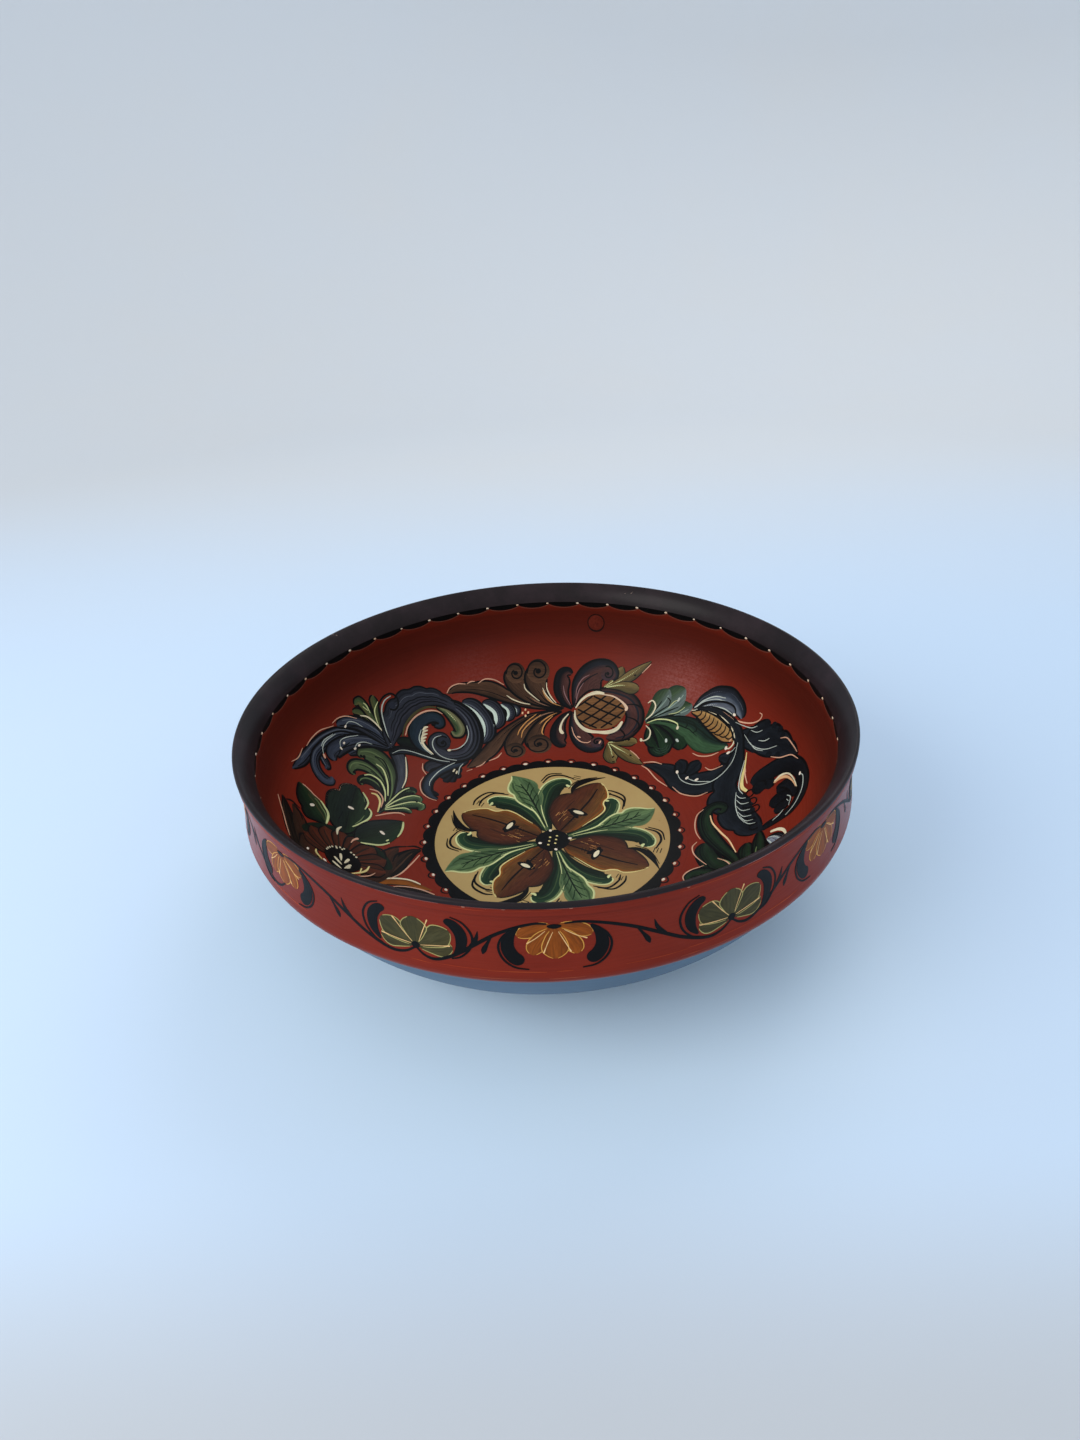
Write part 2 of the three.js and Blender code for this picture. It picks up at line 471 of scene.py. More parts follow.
class Hand:
    """Paints on a surface, with the drawing shifted, turned and sized. Later strokes lie higher."""

    def __init__(self, surface, at=(0, 0), turn=0.0, size=1.0, level=0.05):
        a = math.radians(turn)
        self.surface, self.at, self.size, self.level = surface, np.array(at, float), size, level
        self.matrix = size * np.array([[math.cos(a), -math.sin(a)], [math.sin(a), math.cos(a)]])

    def stroke(self, pot, points, colours, lobes=(None, None), ends="rr", crown=0.012, over=0.0, fade=None):
        """Ribbon through rows of x, y and half widths (both, or left then right). Gives its two edges."""
        rows = [(*row, row[2]) if len(row) == 3 else row for row in points]
        path, length = smooth_path(rows)
        spots = path[:, :2] @ self.matrix.T + self.at
        left, right = [np.maximum(path[:, i], 0.03) * self.size for i in (2, 3)]
        colours = [colours] if isinstance(colours[0], float) else list(colours)
        full = length[-1]
        number = int(max(9, full * self.size / ROW_STEP))
        for lobe in lobes:
            number = max(number, int(lobe[0] * 9) if lobe else 0)
        share = (1 - np.cos(np.linspace(0, math.pi, number))) / 2
        if full > 60:
            share = 0.35 * share + 0.65 * np.linspace(0, 1, number)

        def along(values):
            return np.interp(share * full, length, values)

        spots = np.stack([along(spots[:, 0]), along(spots[:, 1])], 1)
        left, right = along(left) * lobed(share, lobes[0]), along(right) * lobed(share, lobes[1])
        gap = np.minimum(share, 1 - share) * full * self.size
        reach = np.maximum((left + right) / 2, 0.05)
        cap = np.sqrt(np.clip(1 - (1 - np.minimum(gap / reach, 1)) ** 2, 0, 1))
        blunt = np.where(share < 0.5, ends[0] == "r", ends[1] == "r")
        cap = np.where(blunt, np.maximum(cap, 0.06), 1)
        left, right = left * cap, right * cap
        ahead = np.gradient(spots, axis=0)
        ahead /= np.maximum(np.hypot(*ahead.T), 1e-9)[:, None]
        aside = np.stack([-ahead[:, 1], ahead[:, 0]], 1)
        widest = float((left + right).max())
        columns = int(min(2 * round(widest / 4.4) + 3, 15)) if widest >= 2.2 else 3 if widest > 0.9 else 2
        across = np.linspace(1, 0, columns)
        offset = left[:, None] - (left + right)[:, None] * across[None, :]
        flat = spots[:, None, :] + aside[:, None, :] * offset[:, :, None]
        ground, normal = self.surface(flat)
        bulge = crown * (1 - (2 * across - 1) ** 2)[None, :] * np.minimum(cap, 1)[:, None]
        top = ground + normal * (self.level + over + bulge)[:, :, None]
        under = ground - normal * UNDER
        shades = spread(colours, across)[None, :, :] * chance.uniform(0.92, 1.08)
        shades = np.repeat(shades, len(spots), 0)
        if fade:
            shades = shades * np.interp(share, np.linspace(0, 1, len(fade)), fade)[:, None, None]
        drift = chance.uniform(0, 90)
        marks = np.stack(np.broadcast_arrays(share[:, None] * full / 10 + drift, offset / 10), -1)
        pot.film(top, under, shades, marks)
        return flat[:, -1], flat[:, 0]

    def plume(self, pot, points, colours, lines=(), lobes=(None, None), ends="rr", fade=None):
        """Broad stroke, then fine lines on it, each given by its place across (0 left edge, 1 right
        edge), colour, half width, start and end along the stroke."""
        rims = self.stroke(pot, points, colours, lobes, ends, fade=fade)
        for place, colour, width, start, end in lines:
            run = rims[0] * (1 - place) + rims[1] * place
            run = run[int(start * (len(run) - 1)):int(end * (len(run) - 1)) + 1]
            if len(run) > 5:
                swell = 0.55 + 0.45 * np.sin(np.linspace(0, math.pi, len(run))) ** 0.7
                keep = slice(None, None, 2)
                rows = [(x, y, width * s) for (x, y), s in zip(run[keep], swell[keep])]
                fine = LINERS if sum(colour) > sum(DARK_LIMIT) else DARKS
                Hand(self.surface, level=self.level).stroke(fine, rows, colour, over=LINER_LIFT)
        self.level += LEVEL_STEP

    def line(self, pot, points, colour, width=0.45, ends="rr", swell=True):
        """Fine line through points, swelling in the middle as a liner brush does."""
        count = len(points) - 1
        rows = []
        for i, (x, y) in enumerate(points):
            body = 0.35 + 0.65 * math.sin(math.pi * min(max(i / count, 0.04), 0.96)) ** 0.6
            rows.append((x, y, width * (body if swell else 1)))
        self.stroke(pot, rows, colour, ends=ends, over=FINE_LIFT)

    def dab(self, pot, x, y, length, width, turn, colour, crown=0.12):
        """Small blunt touch of the brush."""
        a = math.radians(turn)
        dx, dy = math.cos(a) * length / 2, math.sin(a) * length / 2
        rows = [(x - dx, y - dy, width * 0.45), (x, y, width * 0.5), (x + dx, y + dy, width * 0.35)]
        self.stroke(pot, rows, colour, over=DAB_LIFT, crown=crown)

    def pale(self, colour, width, *runs):
        """Fine pale lines, drawn with a finer brush than the black ones."""
        for run in runs:
            self.line(LINERS, run, colour, width * 0.7)

    def dark(self, colour, width, *runs):
        """Fine dark lines."""
        for run in runs:
            self.line(DARKS, run, colour, width)

    def dots(self, colour, length, width, *places):
        """Small dabs of one size, each given by x, y and turn."""
        for x, y, turn in places:
            self.dab(DOTS, x, y, length, width, turn, colour)

    def fronds(self, pot, tones, lines, *shapes):
        """Plumes with the same colours and lines."""
        for rows in shapes:
            self.plume(pot, rows, tones, lines)


def ring(pot, surface, low, high, colours, lift=0.06, steps=900, columns=4, at=(0, 0), crown=0.0):
    """Closed ribbon round a centre, between two radii given as functions of the angle."""
    a = np.linspace(0, 2 * math.pi, steps, endpoint=False)
    inner, outer = [np.broadcast_to(f(a) if callable(f) else f, a.shape) for f in (low, high)]
    share = np.linspace(1, 0, columns)
    reach = outer[:, None] + (inner - outer)[:, None] * (1 - share)[None, :]
    flat = np.stack([np.cos(a)[:, None] * reach + at[0], np.sin(a)[:, None] * reach + at[1]], -1)
    ground, normal = surface(flat)
    height = lift + crown * (1 - (2 * share - 1) ** 2)
    top = ground + normal * height[None, :, None]
    colours = [colours] if isinstance(colours[0], float) else list(colours)
    shades = np.repeat(spread(colours, share)[None], steps, 0)
    marks = np.stack(np.broadcast_arrays(a[:, None] * inner[:, None] / 10, reach / 10), -1)
    pot.film(top, ground - normal * UNDER, shades, marks, closed=True)


# Finishes

RED_DEEP = paint(108, 31, 18)
# Red for the painted shade under the lip
RED_PAINTED_SHADE = paint(66, 19, 11)
RED_WORN = paint(158, 70, 54)
# Pale red of the painted sheen on the far inner wall, and the two spots it is centred on
RED_PAINTED_SHEEN = paint(160, 92, 86)
SHEEN_SPOT_RIGHT = (0.0872, 0.0955, 0.0465)
SHEEN_SPOT_LEFT = (-0.042, 0.119, 0.044)
CHIP = paint(206, 176, 160)


def near(start, place, spot, reach):
    """1 at a spot of the surface, fading to 0 at a reach from it."""
    gap = start.node("ShaderNodeVectorMath", {"operation": "DISTANCE"}, {0: place, 1: spot}, 1)
    return 1.0 - gap.between(0, reach)


def red_look(start):
    """Iron red oil paint with the lathe's rings showing faintly, darker under the lip as painted shade, and a
    painted sheen on the far wall.
    """
    spot = turned_place(start)
    place = spot.place
    turning = start.noise(spot.rings, 260, 4)
    cloudy = start.noise(place, 14, 4)
    scuffs = start.noise(place, 60, 6, 0.75).between(0.66, 0.8) * start.noise(place, 9, 2).between(0.5, 0.66)
    colour = (cloudy.between(0.3, 0.75) * 0.5 + turning.between(0.35, 0.7) * 0.3).tint(RED, RED_DEEP)
    # Painted shade: the inside wall darkens towards the lip, where the lip shades it.
    painted_shade_under_lip = spot.z.between(0.048, 0.078) * (1.0 - spot.radius.between(0.1439, 0.1445))
    colour = (painted_shade_under_lip * (0.72 + turning * 0.14)).tint(colour, RED_PAINTED_SHADE)
    # Painted sheen: pale streaked patches on the far inner wall where the varnish would gleam.
    painted_sheen = near(start, place, SHEEN_SPOT_RIGHT, 0.036) * 0.72 + near(start, place, SHEEN_SPOT_LEFT, 0.04) * 0.25
    sheen_streaks = turning.between(0.35, 0.65) * 0.45 + start.noise(place, 620, 3, 0.8).between(0.4, 0.62) * 0.55
    colour = (painted_sheen * (0.1 + sheen_streaks)).tint(colour, RED_PAINTED_SHEEN)
    colour = (scuffs * 0.3).tint(colour, RED_WORN)
    dull = 0.42 + turning * 0.12 + scuffs * 0.15
    return colour, dull, turning, 0.12


def umber_look(start):
    """Dark umber lip, worn greyer along its crown, with a few chips to the ground colour."""
    spot = turned_place(start)
    place = spot.place
    turning = start.noise(spot.rings, 420, 5)
    wear = start.noise(place, 30, 5, 0.65)
    chips = start.noise(place, 210, 4,
        0.7).between(0.7, 0.73) * start.noise(place, 12, 2).between(0.56, 0.66)
    colour = (wear.between(0.4, 0.75) * 0.6 + turning * 0.25).tint(UMBER, paint(52, 40, 45))
    colour = (chips * 0.8).tint(colour, CHIP)
    return colour, 0.36 + wear * 0.16, turning * 0.7 - chips * 1.5, 0.1


def slate_look(start):
    """Blue-grey paint of the underside, brushed round the turning."""
    spot = turned_place(start)
    brushed_on = start.noise(spot.rings, 180, 5)
    cloudy = start.noise(spot.place, 10, 4)
    colour = (brushed_on * 0.5 + cloudy.between(0.3, 0.8) * 0.4).tint(SLATE, paint(74, 94, 112))
    return colour, 0.42 + cloudy * 0.12, brushed_on, 0.15


def cream_look(start):
    """Cream ground of the medallion, mottled and lightly pitted."""
    place = object_place(start)
    mottle = start.noise(place, 26, 5)
    fine = start.noise(place, 240, 3)
    pits = start.noise(place, 170, 2).between(0.74, 0.8)
    colour = (mottle.between(0.3, 0.8) * 0.5 + fine * 0.25).tint(CREAM, paint(172, 136, 88))
    colour = (pits * 0.5).tint(colour, paint(108, 78, 48))
    return colour, 0.44 + fine * 0.1, fine - pits, 0.06


def brush_look(contrast, depth):
    """Colour laid on by the stroke, broken into bristle streaks that run along it."""
    def look(start):
        pigment = start.node("ShaderNodeAttribute", {"attribute_name": "pigment"})
        marks = start.node("ShaderNodeUVMap", {"uv_map": "stroke"})
        stretch = {"Vector": marks, "Scale": (0.6, 4.6, 1.0)}
        bristles = start.noise(start.node("ShaderNodeMapping", {}, stretch), 2.2, 4)
        cloudy = start.noise(object_place(start), 70, 3)
        level = bristles.between(0.3, 0.7) * contrast + (cloudy - 0.5) * 0.3 + (1.0 - contrast / 2)
        scaled = start.node("ShaderNodeVectorMath", {"operation": "SCALE"}, {0: pigment, "Scale": level})
        return scaled, 0.38 + bristles * 0.16, bristles, depth
    return look


def side_gloss(start):
    """Varnish on the outside that gleams where the band turns away."""
    radius = parts_of(object_place(start))[3]
    facing = start.node("ShaderNodeLayerWeight", {}, {"Blend": 0.5}, 1)
    return 0.04 + radius.between(0.1448, 0.147) * facing.between(0.5, 0.95) * 0.5


def mottled_look(one, other, scale, detail, low, high, dull, depth):
    """Two colours of one paint, clouded into each other."""
    def look(start):
        mottle = start.noise(object_place(start), scale, detail)
        return mottle.between(low, high).tint(one, other), dull + mottle * 0.1, mottle, depth
    return look


plug_look = mottled_look(paint(100, 34, 22), paint(84, 26, 16), 500, 4, 0.35, 0.7, 0.5, 0.1)
fleck_look = mottled_look(paint(178, 118, 98), paint(140, 84, 70), 90, 3, 0.35, 0.65, 0.55, 0.08)
dot_look = mottled_look(WHITE, paint(226, 190, 156), 300, 3, 0.3, 0.7, 0.45, 0.08)


dot_paint = finish_of("white_dot_paint", dot_look)
red_paint = finish_of("iron_red_paint", red_look, coat=side_gloss)
plug_paint = finish_of("plug_red_paint", plug_look)
fleck_paint = finish_of("bared_ground", fleck_look)
umber_paint = finish_of("umber_lip_paint", umber_look, coat=0.12)
slate_paint = finish_of("blue_grey_paint", slate_look)
cream_ground = finish_of("cream_ground_paint", cream_look)
soft_brush = finish_of("soft_brush_paint", brush_look(0.5, 0.12))
liner_brush = finish_of("liner_brush_paint", brush_look(0.25, 0.1))

# The turned wood and the paints that cover whole parts of it

OUTLINE = joined(FLOOR, INNER, LIP_SLOPE, LIP_TOP, [LIP_FOOT], BAND, TUCK, UNDERSIDE, FOOT, RECESS)
bowl_wood = turned("turned_bowl", sunk(OUTLINE, FILM), red_paint)
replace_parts(bowl_wood, "bowl_body")


def skin(name, run, material):
    """Paint film over one run of the turned form, closed underneath."""
    profile = np.vstack([run, sunk(run, SKIN)[::-1]])
    return turned(name, joined(profile), material)


UMBER_EDGE = (LIP_RADIUS, HEIGHT - UMBER_DROP)
skin("umber_lip_film", joined(LIP_SLOPE, LIP_TOP, [UMBER_EDGE]), umber_paint)
skin("blue_grey_underside", joined(UNDERSIDE, FOOT, RECESS), slate_paint)

# Painting colours

RUSSET = paint(80, 41, 25)
RUSSET_DARK = paint(54, 30, 22)
OCHRE = paint(136, 76, 25)
OCHRE_DARK = paint(108, 60, 27)
BROWN = paint(74, 51, 37)
BROWN_DARK = paint(38, 27, 21)
MAROON = paint(76, 46, 42)
GREEN_NIGHT = paint(17, 29, 20)
GREEN_DARK = paint(26, 47, 28)
GREEN = paint(57, 78, 49)
GREEN_SOFT = paint(100, 118, 76)
OLIVE = paint(68, 64, 38)
NAVY = paint(13, 16, 21)
NAVY_SOFT = paint(28, 31, 39)
BLUE_GREY = paint(49, 52, 62)
BLUE_PALE = paint(84, 90, 100)
LIME = paint(208, 214, 152)
YELLOW = paint(226, 208, 138)
ORANGE = paint(206, 146, 84)
IVORY = paint(226, 214, 180)
PINK = paint(220, 168, 138)
HAIR = paint(194, 203, 192)
ICE = paint(206, 222, 208)
DARK_LIMIT = paint(110, 110, 110)

# One pot for each kind of stroke

BACKS = Pot("back_strokes", "petal_paint", soft_brush)
PETALS = Pot("petal_strokes", "petal_paint", soft_brush)
LEAVES = Pot("leaf_strokes", "leaf_paint", soft_brush)
SCROLLS = Pot("scroll_strokes", "scroll_paint", soft_brush)
DARKS = Pot("black_band_strokes", "black_line_paint", liner_brush)
LINERS = Pot("pale_liner_strokes", "cream_paint", liner_brush)
DOTS = Pot("white_dabs", "white_dot_paint", liner_brush)


# Medallion

MEDAL_AT = (1.3, 1.5)
MEDAL_RADIUS = 65.8
MEDAL_BEADS = 31
MEDAL_THICK = 0.06
MEDAL_DEEP = 0.2
MEDAL_MIDDLE = (1.5, -5.5)
BORDER_INSIDE = 65.4
BORDER_OUTSIDE = 69.4
SCALLOP = 3.2


def medal_ground():
    """Cream disc lying on the bowl's floor."""
    top = FLOOR_Z - FILM + MEDAL_THICK
    low = top - MEDAL_DEEP
    profile = [(0, top), (MEDAL_RADIUS, top), (MEDAL_RADIUS, low), (0, low)]
    disc = turned("medallion_ground", np.array(profile), cream_ground)
    disc.data.transform(Matrix.Translation((MEDAL_AT[0] * MM, MEDAL_AT[1] * MM, 0)))


def medal_border():
    """Black ring with a scalloped outside, and a fine loop round each bead."""
    def scallops(a):
        return BORDER_OUTSIDE + SCALLOP * np.abs(np.sin(MEDAL_BEADS / 2 * (a - math.pi / 2))) ** 0.7

    ring(DARKS, inside, BORDER_INSIDE, scallops, BLACK, lift=0.09, steps=1240, at=MEDAL_AT)
    loop = [(69.4, -3.1), (71.6, -2.6), (73.4, -1.2), (73.6, 0.6), (72.2, 2.3), (69.8, 3.1)]
    for i in range(MEDAL_BEADS):
        hand = Hand(inside, MEDAL_AT, 90 + 360 * i / MEDAL_BEADS, level=0.06)
        hand.line(DARKS, loop, BLACK, 0.5 * chance.uniform(0.8, 1.2))


def petal(hand):
    """Blended petal with a seam, a cream eye on black and a black tip."""
    body = [
        (8, 0, 3, 5), (14, 0, 9.5, 7.5), (21, 0, 15, 9.2), (31, 0, 18, 12), (38, 0, 17, 12),
        (42.5, 0, 12.5, 8), (46, 0.5, 13, 9), (51, 1.5, 10, 7.5), (56, 2.5, 6, 4.5), (59, 3, 1.5, 1.5)]
    tones = [
        RUSSET_DARK, RUSSET, RUSSET, paint(82, 46, 26), paint(90, 55, 28), paint(102, 66, 31),
        paint(114, 75, 35)]
    lines = [
        (0.98, YELLOW, 0.42, 0.3, 0.97), (1, BROWN_DARK, 0.3, 0.05, 0.5), (0, BROWN_DARK, 0.5, 0.1, 0.97),
        (0.93, OCHRE, 0.4, 0.2, 0.9), (0.86, OCHRE_DARK, 0.6, 0.1, 0.6), (0.22, RUSSET, 0.7, 0.3, 0.8),
        (0.34, RUSSET_DARK, 0.6, 0.2, 0.55)]
    hand.plume(PETALS, body, tones, lines, fade=(0.62, 0.95, 1.05, 1.0))
    for _ in range(9):
        x, y = chance.uniform(15, 26), chance.uniform(2, 11)
        hand.line(LINERS, [(x, y), (x + chance.uniform(2, 5), y + chance.uniform(-0.6, 0.6))], ORANGE, 0.16)
    hand.line(DARKS, [(9, 0.5), (24, 0), (40, 0), (53, 1.5)], BLACK, 0.62)
    hand.stroke(DARKS, [(23, -2.2, 0.7), (25, 0, 1.6), (28, 3, 2.6), (30, 5, 1)], BLACK)
    hand.stroke(DARKS,
                [(27.3, 6.6, 0.6), (27.6, 4, 1.9), (28, 0.4, 2.5), (28.2, -3.6, 1.8), (28.6, -5.6, 0.6)],
                BLACK)
    for x in (18.5, 20.5, 22.5, 24.5):
        hand.line(DARKS, [(x, 1.6 + (x - 18) / 3), (x + 1, -1.2 - (x - 18) / 3)], BLACK, 0.3)
    hand.stroke(LINERS, [(28, 3.4, 0.6), (28.1, 0, 1.4), (28.3, -3.2, 0.6)], IVORY, over=DAB_LIFT)
    hand.plume(DARKS,
        [(42, 12.4, 0.3), (46, 14, 1.2), (51, 14, 1.9), (56, 11.8, 2), (60.6, 8, 1.1), (65.4, 3, 0.15)],
        BLACK)
    hand.line(DARKS, [(45, 16.4), (52, 16.4), (58, 13), (63.4, 7.4)], BLACK, 0.36)


def spray(hand):
    """Pale lobed leaf between two dark curls, with outlines and hair lines."""
    curl = [
        (9, 1.4, 0.8, 0.8), (24, 4.4, 3.4, 3.4), (34, 9, 4.8, 5.6), (41, 15, 5.4, 6), (44.8, 20.8, 5, 5.2),
        (43.6, 25, 3.6, 3.6)]
    lines = [
        (1, LIME, 0.5, 0.1, 0.97), (0.88, GREEN_SOFT, 0.5, 0.1, 0.8), (0.5, GREEN, 0.4, 0.2, 0.8),
        (0, GREEN_NIGHT, 0.6, 0.1, 0.95), (0.28, GREEN_NIGHT, 0.5, 0.2, 0.75)]
    tones = [GREEN_NIGHT, paint(22, 40, 28), paint(30, 56, 37), paint(40, 70, 46)]
    hand.plume(LEAVES, curl, tones, lines)
    curl = [
        (9, -1.4, 0.9, 0.8), (25, -3.2, 4, 3.4), (38, -8.7, 6.2, 5.4), (47, -14.2, 6, 5.8),
        (49.6, -20.6, 5.2, 5.2), (46, -25, 3.8, 3.8)]
    lines = [
        (0, LIME, 0.55, 0.1, 0.97), (0.11, GREEN_SOFT, 0.55, 0.2, 0.8), (0.45, GREEN, 0.4, 0.3, 0.85),
        (1, GREEN_NIGHT, 0.6, 0.1, 0.95), (0.7, GREEN_NIGHT, 0.5, 0.2, 0.8)]
    hand.plume(LEAVES, curl, tones[::-1], lines)
    hand.stroke(DOTS, [(42.4, 25.4, 0.3), (43.4, 23.6, 0.9), (45, 22.8, 0.5)], LIME, over=FINE_LIFT)
    hand.stroke(DOTS, [(44.5, -25.6, 0.3), (45.6, -23.4, 0.9), (47.4, -22.8, 0.5)], LIME, over=FINE_LIFT)
    leaf = [
        (9, 0, 0.9), (24, 0, 1.6), (33, 0.5, 4.4), (41, 1, 7.8), (48, 1.6, 9.4), (54, 2.4, 9),
        (59.4, 3.2, 6.4), (63.4, 4, 3.2), (67, 5.4, 0.4)]
    lines = [
        (0, LIME, 0.55, 0.3, 0.99), (1, GREEN_SOFT, 0.3, 0.3, 0.99), (0.2, GREEN, 0.6, 0.4, 0.8),
        (0.8, GREEN, 0.6, 0.4, 0.8)]
    hand.plume(LEAVES, leaf,
        [paint(112, 134, 84), paint(80, 104, 66), paint(92, 116, 76), paint(66, 90, 60), paint(84, 108, 72)],
        lines, ((3, 0.26), (3, 0.26)), fade=(0.6, 0.8, 0.98, 1.14))
    hand.line(DARKS, [(13, 0), (30, 0.2), (45, 1), (57, 2.6)], GREEN_NIGHT, 0.55)
    for side in (-1, 1):
        for x, reach in ((31, 5), (37, 6), (43, 5.4), (49, 4.6)):
            hand.line(DARKS, [(x, 0.6), (x + 5, reach * 0.5 * side + 1), (x + 8, reach * side + 1.4)],
                GREEN_DARK, 0.4)
        hand.line(LINERS, [(12, 0.8 * side), (24, 1.6 * side), (33, 3 * side)], LIME, 0.3)
    for x, y, lean in ((53, 15, 7), (55, 17, 8)):
        hand.line(DARKS, [(x - 4, y - 3), (x, y + lean - 2), (x - 4, y + lean + 6), (x - 9, y + lean + 9)],
                  BLACK, 0.66)
    hand.line(DARKS, [(53.6, -10), (58.6, -16), (57.6, -23), (51.4, -29)], BLACK, 0.74)
    hand.line(DARKS, [(55.6, -9.5), (61, -16), (59.4, -24)], BLACK, 0.54)
    for i in range(3):
        hand.line(DARKS, [(51.5 + 1.6 * i, -28 - i), (48.5 + 1.6 * i, -31.5 - i)], BLACK, 0.44)
        hand.line(DARKS, [(43 + 1.5 * i, 30 + i), (46 + 1.6 * i, 27.4 + i)], BLACK, 0.44)


def medallion():
    """Ground and border, four sprays, four petals over them, and a dotted black middle."""
    medal_ground()
    medal_border()
    for turn, size in ((105, 1.02), (18, 0.96), (-77, 0.86), (196, 0.92)):
        spray(Hand(inside, MEDAL_MIDDLE, turn, size, level=0.09))
    for turn, size in ((57, 1.03), (-30, 0.95), (-127, 0.9), (148, 1.0)):
        petal(Hand(inside, MEDAL_MIDDLE, turn, size, level=0.16))
    hand = Hand(inside, MEDAL_MIDDLE, level=0.2)
    hand.stroke(DARKS, [(-9.6, 0, 6.5), (-6, 0, 8.6), (0, 0, 9.6), (6, 0, 8.8), (9.6, 0, 6.5)], BLACK,
                ((4, 0.12), (4, 0.12)))
    for row in (-1, 0, 1):
        for side in (-1, 1):
            hand.dab(DOTS, 1.9 * side + 0.6 * row, 3.2 * row + 0.5 * side, 1.2, 1.5, 60, YELLOW)
    hand.dots(WHITE, 2, 1.7, (-1, 8.7, 100), (9.6, 1.0, 20), (1.5, -8, -60), (-7, -2, 170))


# Lip, with scallops and dots under it

LIP_DOTS = 46
LIP_TURN = math.radians(1.25)
MOUTH_REACH = FLOOR_RADIUS + WALL_CURVE * math.pi / 2


def lip_scallops():
    """Black swags hanging from the mouth, with a faint line under them."""
    def below(gap):
        return lambda a: MOUTH_REACH - gap - 2.6 * np.abs(np.sin(LIP_DOTS / 2 * (a - LIP_TURN))) ** 0.6

    ring(DARKS, inside, below(0.9), MOUTH_REACH - 0.1, BLACK, lift=0.1, steps=1840)
    ring(LINERS, inside, below(1.5), below(1.15), paint(112, 66, 54), lift=0.07, steps=1840, columns=2)


def bead_tree(material):
    """Flattened beads evenly round a circle, each leaning with the wall under it."""
    tree = bpy.data.node_groups.new("beads_round", "GeometryNodeTree")
    tree.interface.new_socket("Seed shape", in_out="INPUT", socket_type="NodeSocketGeometry")
    kinds = {
        "Count": "Int", "Circle radius": "Float", "Bead size": "Vector", "Lean": "Float",
        "Centre": "Vector", "Start turn": "Float", "Seed": "Int", "Share": "Float", "Scatter": "Vector",
        "Unevenness": "Float"}
    named = {}
    for name, kind in kinds.items():
        socket = tree.interface.new_socket(name, in_out="INPUT", socket_type="NodeSocket" + kind)
        named[name] = socket.identifier
    tree.interface.new_socket("Beads", in_out="OUTPUT", socket_type="NodeSocketGeometry")
    source = tree.nodes.new("NodeGroupInput")
    wires = [Wire(tree, socket) for socket in source.outputs][1:11]
    count, reach, size, lean, centre, start_turn, seed, share, scatter, uneven = wires
    start = Wire(tree)
    circle = start.node("GeometryNodeMeshCircle", {}, {"Vertices": count, "Radius": reach})
    back = start.node("ShaderNodeVectorMath", {"operation": "SCALE"}, {0: scatter, "Scale": -1.0})
    limits = {0: back, 1: scatter, "Seed": seed}
    strayed = start.node("FunctionNodeRandomValue", {"data_type": "FLOAT_VECTOR"}, limits)
    circle = start.node("GeometryNodeSetPosition", {}, {"Geometry": circle, "Offset": strayed})
    odds = {"Probability": share, "Seed": seed}
    kept = start.node("FunctionNodeRandomValue", {"data_type": "BOOLEAN"}, odds, 3)
    bead = start.node("GeometryNodeMeshUVSphere", {}, {"Segments": 10, "Rings": 6, "Radius": MM})
    split = start.node("ShaderNodeSeparateXYZ", {}, {0: start.node("GeometryNodeInputPosition")})
    across, along = split, Wire(tree, split.socket.node.outputs[1])
    turn = start.node("ShaderNodeCombineXYZ", {}, {1: lean, 2: along.math("ARCTAN2", along, across)})
    limits = {2: 1.0 - uneven, 3: 1.0 + uneven, "Seed": seed}
    varied = start.node("FunctionNodeRandomValue", {"data_type": "FLOAT"}, limits, 1)
    grown_size = start.node("ShaderNodeVectorMath", {"operation": "SCALE"}, {0: size, "Scale": varied})
    inputs = {"Points": circle, "Selection": kept, "Instance": bead, "Rotation": turn, "Scale": grown_size}
    placed = start.node("GeometryNodeInstanceOnPoints", {}, inputs)
    spin = start.node("ShaderNodeCombineXYZ", {}, {2: start_turn})
    real = start.node("GeometryNodeRealizeInstances", {}, {0: placed})
    moved = start.node("GeometryNodeTransform", {},
        {"Geometry": real, "Translation": centre, "Rotation": spin})
    done = start.node("GeometryNodeSetMaterial", {}, {"Geometry": moved, "Material": material})
    sink = tree.nodes.new("NodeGroupOutput")
    tree.links.new(done.socket, sink.inputs[0])
    return tree, named


def scattered(name, material, **values):
    """Piece of many small bodies from the bead tree, with its inputs given by name."""
    tree, named = bead_tree(material)
    inputs = {named[key.replace("_", " ")]: value for key, value in values.items()}
    return grown(name, bpy.data.meshes.new(name), tree, inputs)


def beads(name, count, reach, size, at, start_turn, seed):
    """Round of beads on the inside at a distance along the surface from its middle."""
    spot, normal = inside(np.array([[float(reach), 0.0]]))
    radius, height = float(spot[0, 0]), float(spot[0, 2]) + 0.1
    lean = -math.atan2(-normal[0, 0], normal[0, 2])
    centre = (at[0] * MM, at[1] * MM, height * MM)
    piece = scattered(name, dot_paint, Count=count, Circle_radius=radius * MM, Bead_size=size, Lean=lean,
        Centre=centre, Start_turn=math.radians(start_turn), Seed=seed, Share=1.0, Scatter=(0, 0, 0),
        Unevenness=0.2)
    piece.data.shade_smooth()


def chips(name, count, share, reach, at, scatter, seed):
    """Flakes of ground showing along an edge, strayed up and down by chance."""
    scattered(name, fleck_paint, Count=count, Circle_radius=reach * MM, Bead_size=(0.12, 0.46, 0.15),
              Lean=0.0, Centre=(0, 0, at * MM), Start_turn=0.0, Seed=seed, Share=share,
              Scatter=(0, 0, scatter * MM), Unevenness=0.75)


# Band round the outside

